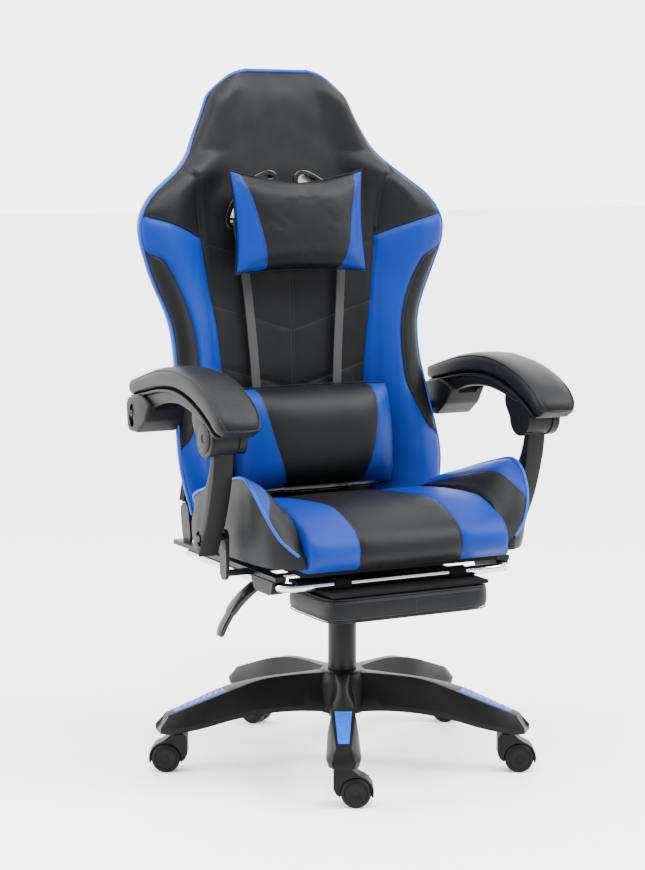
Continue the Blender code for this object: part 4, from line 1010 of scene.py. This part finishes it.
SEAT_HALF, STRIPE = 0.190, 0.097
SEAT_SIDE = ((-0.2350, 0.3836), (-0.2440, 0.3950), (-0.2480, 0.4100), (-0.2440, 0.4280), (-0.2330, 0.4420),
             (-0.2130, 0.4540), (-0.1750, 0.4690), (-0.1370, 0.4755), (-0.0500, 0.4715), (0.0350, 0.4630),
             (0.0610, 0.4570), (0.0690, 0.4430), (0.0900, 0.4395), (0.1250, 0.4380), (0.1325, 0.4300),
             (0.1330, 0.3836))
seat_ring = smooth_rows(SEAT_SIDE, 6)
seat_x = np.concatenate([np.linspace(-SEAT_HALF, -STRIPE, 17)[:-1], np.linspace(-STRIPE, STRIPE, 35)[:-1],
                         np.linspace(STRIPE, SEAT_HALF, 17)])
rings = []
for x in seat_x:
    edge = SEAT_HALF - abs(x)
    stripe = abs(abs(x) - STRIPE)
    tuck = 0.0070 * (1 - np.sqrt(1 - max(0.0, 1 - edge / 0.012) ** 2))
    swell = 0.0050 * (1 - np.exp(-min(stripe, edge) / 0.018)) - 0.0024 * np.exp(-(stripe / 0.0028) ** 2)
    out = np.stack([seat_ring[:, 0] + 0.05, (seat_ring[:, 1] - 0.4200) * 1.6], 1)
    out /= np.linalg.norm(out, axis=1, keepdims=True)
    upper = ramp(seat_ring[:, 1], 0.388, 0.402) * (1 - ramp(seat_ring[:, 0], 0.055, 0.075))
    ring = seat_ring + out * ((swell - tuck) * upper)[:, None]
    rings.append([(x, y, z) for y, z in ring])
stripe_of = [0 if abs(a + b) / 2 < STRIPE else 1 for a, b in zip(seat_x[:-1], seat_x[1:])]
seat_mesh = ring_mesh(rings, look_of_ring=stripe_of)
seat = bpy.data.objects.new("seat_blank", seat_mesh)
bpy.context.scene.collection.objects.link(seat)
at = np.array([v.co for v in seat_mesh.vertices])
held = np.flatnonzero((at[:, 2] < 0.39) | (np.abs(np.abs(at[:, 0]) - STRIPE) < 0.001) | (at[:, 1] > 0.055)
                      | (np.abs(at[:, 0]) > SEAT_HALF - 0.001))
stuff(seat, held, pressure=2.6, frames=14, cap=0.0045, stiffness=10.0)
bpy.data.objects.remove(seat)
seat_top = add_piece("seat_pad", seat_mesh, [black_vinyl, blue_vinyl], "seat", ["seat_cushion"], crisp=50.0)
sewn = []
for x in (-STRIPE, STRIPE):
    column = min(range(len(seat_x)), key=lambda i: abs(seat_x[i] - x))
    for aside in (-0.003, 0.003):
        inside = [p for p in rings[column] if p[2] > 0.392 and p[1] < 0.05]
        sewn.append(stitches(dense([(p[0] + aside, p[1] - 0.0006 if p[1] < -0.23 else p[1], p[2] + 0.0014)
                                    for p in inside])))
add_piece("seat_stitching", sewing_mesh(sewn), [thread_black], "seat")

# ---------------------------------------------------------------- seat wings
# Foam bolsters over a steel fin each side of the seat: black outside, blue over the crest, black
# where they meet the seat, with bright piping from the crest down to the front corner.

# y: crest x and z, inner edge z, outer foot x
WING_STATIONS = ((-0.2380, 0.2060, 0.4130, 0.4040, 0.2030), (-0.2250, 0.2330, 0.4400, 0.4200, 0.2230),
                 (-0.2050, 0.2510, 0.4800, 0.4480, 0.2390), (-0.1750, 0.2590, 0.5170, 0.4700, 0.2470),
                 (-0.1410, 0.2595, 0.5320, 0.4790, 0.2510), (-0.0800, 0.2595, 0.5200, 0.4800, 0.2530),
                 (0.0000, 0.2590, 0.4980, 0.4720, 0.2530), (0.0550, 0.2570, 0.4800, 0.4640, 0.2520),
                 (0.0680, 0.2520, 0.4650, 0.4560, 0.2470))
WING_INNER, WING_LOW = SEAT_HALF + 0.0016, 0.3915
OUTER_STEPS, INNER_STEPS = 14, 22
# how far down the inner face the blue reaches, from 0 at the piping to 1 at the seat
BLUE_REACH = ((-0.240, 0.03), (-0.212, 0.04), (-0.200, 0.22), (-0.185, 0.40), (-0.160, 0.50), (-0.110, 0.55),
              (-0.040, 0.64), (0.030, 0.80), (0.070, 0.95))
wing_rows = smooth_rows(WING_STATIONS, 7)


def wing_ring(row, reach_share):
    y, peak_x, peak_z, inner_z, foot_x = row
    bulge = 0.006 * min(1.0, (peak_z - 0.40) / 0.08)
    ring = []
    for t in np.linspace(0, 1, OUTER_STEPS):
        x = foot_x + (peak_x - foot_x) * t ** 0.8 + bulge * 0.4 * sin(pi * t) * (1 - t)
        ring.append((x, y, WING_LOW + (peak_z - WING_LOW) * t))
    shares = np.concatenate([np.linspace(0.02, reach_share, INNER_STEPS // 2),
                             np.linspace(reach_share, 1.0, INNER_STEPS // 2 + 1)[1:]])
    for t in shares:
        x = peak_x + (WING_INNER - peak_x) * t
        z = peak_z + (inner_z - peak_z) * t ** 1.25 + bulge * 0.9 * sin(pi * min(t * 1.15, 1.0))
        z -= 0.0016 * np.exp(-((t - reach_share) * abs(peak_x - WING_INNER) / 0.0022) ** 2)
        ring.append((x, y, z))
    ring.append((WING_INNER, y, WING_LOW))
    return ring


left_rings = [wing_ring(row, float(along(BLUE_REACH, row[0]))) for row in wing_rows]
columns_look = ([0] * OUTER_STEPS + [1] * (INNER_STEPS // 2 - 1) + [0] * (INNER_STEPS // 2 + 2))
for name, sign in (("left", 1), ("right", -1)):
    rings = [[(sign * x, y, z) for x, y, z in ring] for ring in left_rings]
    wing = add_piece(f"wing_{name}", ring_mesh(rings, look_of_column=columns_look), [black_vinyl, blue_vinyl],
                     "seat", [f"seat_wing_{name}"], crisp=55.0)
    crest = [ring[OUTER_STEPS - 1] for ring in rings]
    add_piece(f"wing_piping_{name}", tube([(x, y, z + 0.0006) for x, y, z in crest], 0.0026, 10), [piping_vinyl],
              "seat")
    seam = [Vector(ring[OUTER_STEPS + INNER_STEPS // 2 - 1]) + Vector((0, 0, 0.0006)) for ring in rings[6:]]
    add_piece(f"wing_stitching_{name}", sewing_mesh([stitches(dense(seam))]), [thread_black], "seat")

# ---------------------------------------------------------------- seat frame, board and mechanism
# Welded flat steel carrying a plywood board with a black dust cover stapled under it. The
# pressed-steel mechanism plate bolts to the frame's cross members and takes the gas lift's cone.

dust_cover = Finish("dust_cover", "seat_board", Roughness=0.92, Specular_IOR_Level=0.08)
felt = dust_cover.noise(420.0, 6.0)
dust_cover.feed(dust_cover.shader, {"Base Color": dust_cover.tinted(felt, (0.003, 0.003, 0.0034),
                                                                   (0.009, 0.009, 0.0095))})
dust_cover.raised(felt, 0.0003)
for node in ("seat_pan", "footrest_board"):
    finish_cad(node, dust_cover)
for node in ("seat_frame", "mechanism_plate", "recliner_left", "recliner_right", "back_frame", "hub_bolt_left",
             "hub_bolt_right"):
    finish_cad(node, powder)

# ---------------------------------------------------------------- height lever
# A plated steel rod, hinged in the mechanism's side and bent down at its end. A glossy moulded
# paddle in two steps is pushed on it.

lever_path = smooth_rows(((-0.036, 0.0, 0.335), (-0.100, 0.0, 0.335), (-0.140, 0.0, 0.3335), (-0.166, 0.0, 0.322),
                          (-0.186, 0.0, 0.308)), 5)
add_piece("lever_bar", tube(lever_path, 0.0040, 16), [plated], "height_lever", ["lever_rod"])
# x, z, half width, half thickness
PADDLE_STATIONS = ((-0.150, 0.3315, 0.0085, 0.0062), (-0.156, 0.3290, 0.0110, 0.0085),
                   (-0.176, 0.3180, 0.0128, 0.0088), (-0.200, 0.2990, 0.0134, 0.0084),
                   (-0.2155, 0.2810, 0.0128, 0.0076), (-0.2185, 0.2760, 0.0112, 0.0058),
                   (-0.230, 0.2580, 0.0116, 0.0060), (-0.236, 0.2440, 0.0104, 0.0050),
                   (-0.238, 0.2395, 0.0070, 0.0030))
paddle_rows = smooth_rows(PADDLE_STATIONS, 5)


def oval_rings(path, half_widths, half_heights, power, count=28):
    """Rounded-box rings about a path of (y or x, z) points; the first axis is across."""
    rings = []
    for i, (centre, wide, tall) in enumerate(zip(path, half_widths, half_heights)):
        before, after = path[max(i - 1, 0)], path[min(i + 1, len(path) - 1)]
        run = np.array(after) - np.array(before)
        run /= np.linalg.norm(run)
        up = np.array((-run[1], run[0])) * (1 if run[0] > 0 else -1)
        ring = []
        for a in (2 * pi * (k + 0.5) / count for k in range(count)):
            side = wide * np.sign(cos(a)) * abs(cos(a)) ** (2 / power)
            rise = tall * np.sign(sin(a)) * abs(sin(a)) ** (2 / power)
            ring.append((side, centre[0] + up[0] * rise, centre[1] + up[1] * rise))
        rings.append(ring)
    return rings


rings = [[(x, side, z) for side, x, z in ring]
         for ring in oval_rings(paddle_rows[:, :2], paddle_rows[:, 2], paddle_rows[:, 3], 3.0)]
add_piece("lever_grip", ring_mesh(rings), [gloss], "height_lever", ["lever_paddle"])

# ---------------------------------------------------------------- recline lever
# A flat glossy moulded handle on the sitter's left, pressed on the recliner's shaft. It is pulled
# up to free the back.

# y, z, half thickness, half height
RECLINE_GRIP = ((0.206, 0.425, 0.0050, 0.0100), (0.190, 0.4245, 0.0050, 0.0130), (0.150, 0.4190, 0.0050, 0.0105),
                (0.100, 0.4140, 0.0060, 0.0100), (0.050, 0.4130, 0.0070, 0.0090), (0.030, 0.4120, 0.0060, 0.0070))
grip_rows = smooth_rows(RECLINE_GRIP, 5)
rings = [[(0.2675 + x, y, z) for x, y, z in ring]
         for ring in oval_rings(grip_rows[:, :2], grip_rows[:, 2], grip_rows[:, 3], 3.0)]


def rod(x_low, x_high, y, z, radius, steps=48):
    """A round bar across the chair."""
    mesh = turned(((0.0, x_low), (radius, x_low), (radius, x_high), (0.0, x_high)), steps)
    mesh.transform(Matrix.Translation((0, y, z)) @ Matrix.Rotation(pi / 2, 4, "Y"))
    return mesh


add_piece("recline_grip", worked(ring_mesh(rings), plus(rod(0.2157, 0.2670, 0.192, 0.425, 0.0050))), [gloss],
          "recline_lever", ["recline_lever"])

# ---------------------------------------------------------------- footrest
# A chromed tube bent into a U that slides in two nylon guides under the seat, with a padded board
# on sleeves that turns over on the tube's front.

chrome = Finish("chrome", "chrome", Metallic=1.0)
haze = chrome.noise(30.0, 6.0)
line = chrome.noise(220.0, 2.0, chrome.stretched(0.1, 1.0, 1.0))
chrome.feed(chrome.shader, {"Base Color": chrome.tinted(haze, (0.46, 0.47, 0.49), (0.62, 0.63, 0.65)),
                            "Roughness": 0.05 + 0.07 * haze + 0.04 * line})
chrome.raised(haze, 0.00002)
RAIL_X, BAR_Y, BAR_Z, BEND = 0.215, -0.201, 0.355, 0.024
half = [(RAIL_X, y, BAR_Z) for y in np.linspace(0.170, BAR_Y + BEND, 8)]
half += [(RAIL_X - BEND + BEND * cos(a), BAR_Y + BEND - BEND * sin(a), BAR_Z) for a in np.linspace(0, pi / 2, 10)[1:]]
half += [(x, BAR_Y, BAR_Z) for x in np.linspace(RAIL_X - BEND, 0, 7)[1:]]
rail_path = half + [(-x, y, z) for x, y, z in reversed(half[:-1])]
add_piece("footrest_tube", tube(rail_path, 0.0079, 24), [chrome], "footrest_rail", ["footrest_rail"])
for name in ("left", "right"):
    finish_cad(f"rail_guide_{name}", nylon)

PAD_HALF_X, PAD_Y_FRONT, PAD_Y_REAR = 0.1565, -0.2535, -0.0765
PAD_Z_LOW, PAD_Z_HIGH = 0.2965, 0.3402
centre_y = (PAD_Y_FRONT + PAD_Y_REAR) / 2
half_y = (PAD_Y_REAR - PAD_Y_FRONT) / 2
around = np.linspace(0, 2 * pi, 120, endpoint=False) + pi / 120


def foot_outline(shrink, z):
    points = []
    for a in around:
        x = (PAD_HALF_X - shrink) * np.sign(cos(a)) * abs(cos(a)) ** (2 / 9)
        y = (half_y - shrink) * np.sign(sin(a)) * abs(sin(a)) ** (2 / 6)
        points.append((x, centre_y + y, z))
    return points


levels = [(0.055, PAD_Z_LOW + 0.0005), (0.030, PAD_Z_LOW), (0.012, PAD_Z_LOW + 0.0010), (0.0040, PAD_Z_LOW + 0.0030),
          (0.0022, PAD_Z_LOW + 0.0055), (0.0006, PAD_Z_LOW + 0.0090), (0.0, PAD_Z_LOW + 0.0150),
          (0.0, PAD_Z_LOW + 0.0220), (0.0003, PAD_Z_HIGH - 0.0150), (0.0008, PAD_Z_HIGH - 0.0090),
          (0.0024, PAD_Z_HIGH - 0.0055), (0.0044, PAD_Z_HIGH - 0.0030), (0.012, PAD_Z_HIGH - 0.0008),
          (0.030, PAD_Z_HIGH), (0.055, PAD_Z_HIGH)]
foot_mesh = ring_mesh([foot_outline(shrink, z) for shrink, z in levels])
at = np.array([v.co for v in foot_mesh.vertices])
front_seam = np.exp(-(at[:, 0] / 0.0035) ** 2) * (at[:, 1] < centre_y)
at[:, 1] += front_seam * 0.0020
foot_mesh.vertices.foreach_set("co", at.ravel())
blank = bpy.data.objects.new("foot_blank", foot_mesh)
bpy.context.scene.collection.objects.link(blank)
held = np.flatnonzero((np.abs(at[:, 2] - PAD_Z_LOW - 0.0030) < 0.0004) | (at[:, 2] > PAD_Z_HIGH - 0.0056)
                      | (front_seam > 0.8))
stuff(blank, held, pressure=2.2, frames=10, cap=0.0022, stiffness=10.0)
bpy.data.objects.remove(blank)
foot_pad = add_piece("footrest_cushion", worked(foot_mesh, ("SUBSURF", {"levels": 1})), [black_vinyl], "footrest",
                     ["footrest_pad"], crisp=60.0)
welts = []
for shrink, z in ((0.0030, PAD_Z_LOW + 0.0030), (0.0034, PAD_Z_HIGH - 0.0030)):
    loop = foot_outline(shrink - 0.0010, z)
    welts.append(tube(loop + loop[:2], 0.0012, 8))
add_piece("footrest_welts", joined(welts), [black_vinyl], "footrest")
sewn = [stitches(dense(foot_outline(-0.0006, z) + foot_outline(-0.0006, z)[:1]))
        for z in (PAD_Z_LOW + 0.0085, PAD_Z_HIGH - 0.0085)]
sewn.append(stitches([(0.003, PAD_Y_FRONT - 0.0002, z) for z in (PAD_Z_LOW + 0.008, PAD_Z_HIGH - 0.008)]))
add_piece("footrest_stitching", sewing_mesh(sewn), [thread_black], "footrest")

# ---------------------------------------------------------------- armrests
# Each arm turns on a stub of the back frame and on its strut, a linkage that keeps it level. A
# moulded bow with a tall rear block and a forked hub carries a padded, stitched top.

ARM_X, STRUT_HALF, HUB_HALF = 0.300, 0.0175, 0.032
HUB_RADIUS, HUB_NECK, STRUT_EYE, EYE_GAP, CAP_RECESS = 0.031, 0.0255, 0.0290, 0.0332, 0.0235
BOLT_SLOT = 0.0085                # radius of the oval recess round a bolt
THROUGH = (0.25, 0.35)            # a drill from side to side of an arm
ARM_PIVOT, HUB_PIVOT, FOOT_PIVOT = (0.145, 0.598), (-0.150, 0.603), (-0.095, 0.430)
# y, z of the pad's middle, half width, half thickness, depth of the moulded bow under it
ARM_STATIONS = ((0.1820, 0.6520, 0.0190, 0.0070, 0.012), (0.1690, 0.6555, 0.0290, 0.0140, 0.022),
                (0.1100, 0.6690, 0.0320, 0.0175, 0.0300), (0.0400, 0.6830, 0.0350, 0.0190, 0.0250),
                (-0.0300, 0.6880, 0.0375, 0.0195, 0.0230), (-0.0900, 0.6815, 0.0395, 0.0200, 0.0220),
                (-0.1450, 0.6660, 0.0410, 0.0205, 0.0180), (-0.1880, 0.6450, 0.0410, 0.0205, 0.0060),
                (-0.2100, 0.6260, 0.0390, 0.0180, 0.0040), (-0.2190, 0.6160, 0.0300, 0.0110, 0.0030))
arm_rows = smooth_rows(ARM_STATIONS, 6)


def arm_rings(rows, wide, tall, drop, power, count=36):
    """Rings along the arm, wide, tall and drop being arrays along it."""
    path = rows[:, :2]
    run = np.gradient(path, axis=0)
    run /= np.linalg.norm(run, axis=1, keepdims=True)
    up = np.stack([run[:, 1], -run[:, 0]], 1)
    centre = path - up * np.asarray(drop)[:, None]
    rings = []
    for k in range(len(rows)):
        ring = []
        for a in (2 * pi * (j + 0.5) / count for j in range(count)):
            side = wide[k] * np.sign(cos(a)) * abs(cos(a)) ** (2 / power)
            rise = tall[k] * np.sign(sin(a)) * abs(sin(a)) ** (2 / power)
            ring.append((side, centre[k, 0] + up[k, 0] * rise, centre[k, 1] + up[k, 1] * rise))
        rings.append(ring)
    return rings


def capsule(start, end, radius, steps=16):
    """The (y, z) outline of a bar with two round ends."""
    heading = atan2(end[1] - start[1], end[0] - start[0])
    return [(centre[0] + radius * cos(first + pi * i / steps), centre[1] + radius * sin(first + pi * i / steps))
            for centre, first in ((start, heading + pi / 2), (end, heading - pi / 2)) for i in range(steps + 1)]


pad_rings = arm_rings(arm_rows, arm_rows[:, 2], arm_rows[:, 3], np.zeros(len(arm_rows)), 3.0)
pad_mesh = ring_mesh([[(ARM_X + x, y, z) for x, y, z in ring] for ring in pad_rings])
pad_mesh = worked(pad_mesh, ("SUBSURF", {"levels": 1}))

BOW_FROM, BOW_TO, HOLLOW_FROM, HOLLOW_TO, RIM_FROM, RIM_TO = 8, -14, 6, -7, 5, -3   # rows
bow_rows = arm_rows[BOW_FROM:BOW_TO]
bow_depth = bow_rows[:, 4]
bow = ring_mesh([[(ARM_X + x, y, z) for x, y, z in ring] for ring in arm_rings(
    bow_rows, bow_rows[:, 2] - 0.007, bow_depth / 2, bow_rows[:, 3] + bow_depth / 2 - 0.001, 5.0)])
hollow_rows = bow_rows[HOLLOW_FROM:HOLLOW_TO]
hollow_depth = hollow_rows[:, 4]
hollow = ring_mesh([[(ARM_X + x, y, z) for x, y, z in ring] for ring in arm_rings(
    hollow_rows, hollow_rows[:, 2] - 0.0135, hollow_depth / 2, hollow_rows[:, 3] + hollow_depth / 2 + 0.008, 5.0)])
rim_rows = arm_rows[RIM_FROM:RIM_TO]
rim = ring_mesh([[(ARM_X + x, y, z) for x, y, z in ring] for ring in arm_rings(
    rim_rows, rim_rows[:, 2] - 0.0015, np.full(len(rim_rows), 0.0030), rim_rows[:, 3] + 0.0012, 6.0)])
BLOCK = ((0.1180, 0.6500), (0.1640, 0.6405), (0.1720, 0.6300), (0.1680, 0.5900), (0.1600, 0.5820),
         (0.1220, 0.5820), (0.0900, 0.6050), (0.0700, 0.6350), (0.0900, 0.6440))
block = worked(slab(BLOCK, 0.2610, 0.3350), eased(0.0045, 4, 12.0))
hub_y, hub_z = HUB_PIVOT
hub_sides = (ARM_X - HUB_HALF, ARM_X + HUB_HALF)
strut_sides = (ARM_X - STRUT_HALF, ARM_X + STRUT_HALF)
hub_fork = worked(slab(capsule(HUB_PIVOT, (hub_y + 0.022, hub_z + 0.030), HUB_NECK), *hub_sides),
                  plus(rod(*hub_sides, hub_y, hub_z, HUB_RADIUS, 72)), eased(0.0018, 3, 40.0))
arm_mesh = worked(bow, plus(rim), plus(block), plus(hub_fork), less(hollow),
                  less(pad_mesh.copy()),
                  less(rod(strut_sides[0] - 0.0006, strut_sides[1] + 0.0006, hub_y, hub_z, EYE_GAP, 72)),
                  less(rod(hub_sides[1] - 0.0022, hub_sides[1] + 0.01, hub_y, hub_z, CAP_RECESS, 56)),
                  less(rod(*THROUGH, *ARM_PIVOT, 0.0084, 32)),
                  less(slab(capsule((0.1480, 0.6060), (0.1440, 0.6220), BOLT_SLOT), 0.3315, 0.36)))
cap = turned(((0.0, 0.0016), (0.0060, 0.0016), (0.0066, 0.0040), (0.0210, 0.0040), (0.0226, 0.0030), (0.0228, 0.0),
              (0.0, 0.0)), 56)
cap.transform(Matrix.Translation((ARM_X + HUB_HALF - 0.0020, hub_y, hub_z)) @ Matrix.Rotation(pi / 2, 4, "Y"))
socket = turned(((0.0, 0.0005), (0.0028, 0.0005), (0.0030, 0.0045), (0.0062, 0.0045), (0.0066, 0.0035),
                 (0.0066, 0.0), (0.0, 0.0)), 6)
BLOCK_BOLT = Vector((0.3312, 0.146, 0.614))
socket.transform(Matrix.Translation(BLOCK_BOLT) @ Matrix.Rotation(pi / 2, 4, "Y"))
STRUT = ((-0.1440, 0.5800), (-0.1340, 0.5450), (-0.1180, 0.5180), (-0.0860, 0.4880), (-0.0680, 0.4650),
         (-0.0640, 0.4420), (-0.0740, 0.4150), (-0.0930, 0.3980), (-0.1070, 0.4250), (-0.1270, 0.4620),
         (-0.1420, 0.5020), (-0.1530, 0.5400), (-0.1590, 0.5800))
right_side, left_side = smooth_rows(STRUT[:8], 5), smooth_rows(STRUT[7:], 5)
strut_outline = [tuple(p) for p in right_side] + [tuple(p) for p in left_side[1:]]
foot_slot = capsule((-0.0965, 0.4260), (-0.0935, 0.4340), BOLT_SLOT)
strut_mesh = worked(slab(strut_outline, *strut_sides), eased(0.0035, 3, 50.0),
                    plus(rod(*strut_sides, hub_y, hub_z, STRUT_EYE, 64)),
                    less(rod(*THROUGH, hub_y, hub_z, 0.0075, 32)),
                    less(rod(*THROUGH, *FOOT_PIVOT, 0.0065, 32)),
                    less(slab(foot_slot, strut_sides[1] - 0.003, 0.36)))
foot_bolt = socket.copy()
foot_bolt.transform(Matrix.Translation(Vector((strut_sides[1] - 0.0045, *FOOT_PIVOT)) - BLOCK_BOLT))

# the pad's welt runs along both sides and round the nose, and is gathered at the nose
WELT_CORNER = 3
side_points = [Vector(ring[WELT_CORNER]) for ring in pad_rings[3:-2]]
other_points = [Vector((-p.x, p.y, p.z)) for p in side_points]
tip = side_points[-1]
nose = [Vector((tip.x * cos(a), tip.y - 0.0085 * sin(a), tip.z - 0.0030 * sin(a)))
        for a in np.linspace(0, pi, 12)[1:-1]]
rear = side_points[0]
tail = [Vector((-rear.x * cos(a), rear.y + 0.010 * sin(a), rear.z - 0.0015 * sin(a)))
        for a in np.linspace(0, pi, 10)[1:-1]]
welt_path = [p + Vector((ARM_X, 0, 0)) for p in side_points + nose + other_points[::-1] + tail]
welt_mesh = tube(welt_path + welt_path[:2], 0.0013, 8)
gathers = []
for k in range(len(side_points) - 12, len(side_points)):
    for p in (side_points[k], other_points[k]):
        up = Vector((-0.25 * np.sign(p.x), 0.0, 0.95)).normalized()
        gathers.append([[p + Vector((ARM_X, 0, 0)) + up * s + 0.0006 * Vector((cos(a), sin(a), 0))
                         for a in (2 * pi * j / 5 for j in range(5))] for s in (-0.002, 0.0, 0.003, 0.0045)])
seam_stitches = stitches([p + Vector((ARM_X, 0, 0.0030)) for p in side_points[2:]])
seam_stitches += stitches([p + Vector((ARM_X, 0, 0.0030)) for p in other_points[2:]])
arm_stitch_mesh = sewing_mesh([gathers, seam_stitches])


def handed(mesh, sign):
    """The same mesh for the sitter's left, or mirrored for the right."""
    copy = mesh.copy()
    if sign < 0:
        copy.transform(Matrix.Scale(-1, 4, (1, 0, 0)))
        copy.flip_normals()
    return copy


for name, sign in (("left", 1), ("right", -1)):
    add_piece(f"arm_moulding_{name}", handed(arm_mesh, sign), [nylon], f"arm_{name}", [f"arm_body_{name}"],
              crisp=34.0)
    add_piece(f"hub_cap_{name}", handed(cap, sign), [nylon], f"arm_{name}")
    add_piece(f"arm_bolt_{name}", handed(socket, sign), [powder], f"arm_{name}")
    pad = add_piece(f"arm_cushion_{name}", handed(pad_mesh, sign), [black_vinyl], f"arm_{name}", [f"arm_pad_{name}"],
                    crisp=180.0)
    add_piece(f"arm_welt_{name}", handed(welt_mesh, sign), [black_vinyl], f"arm_{name}")
    add_piece(f"arm_stitching_{name}", handed(arm_stitch_mesh, sign), [thread_black], f"arm_{name}")
    add_piece(f"strut_{name}", handed(strut_mesh, sign), [nylon], f"strut_{name}", [f"arm_strut_{name}"],
              crisp=34.0)
    add_piece(f"strut_bolt_{name}", handed(foot_bolt, sign), [powder], f"strut_{name}")

# ---------------------------------------------------------------- floor
# A plain pale studio floor, in place of the paper sweep that a chair like this stands on when it
# is shown. It is no part of the chair.

pale = moulded("pale_floor", "black_plastic", (0.90, 0.90, 0.90), (0.92, 0.92, 0.92), 0.62, 0.00001)
floor = bpy.data.objects.new("floor", mesh_of([(-40, -40, 0), (40, -40, 0), (40, 40, 0), (-40, 40, 0)],
                                              [(0, 1, 2, 3)]))
bpy.context.scene.collection.objects.link(floor)
floor.data.materials.append(pale.material)
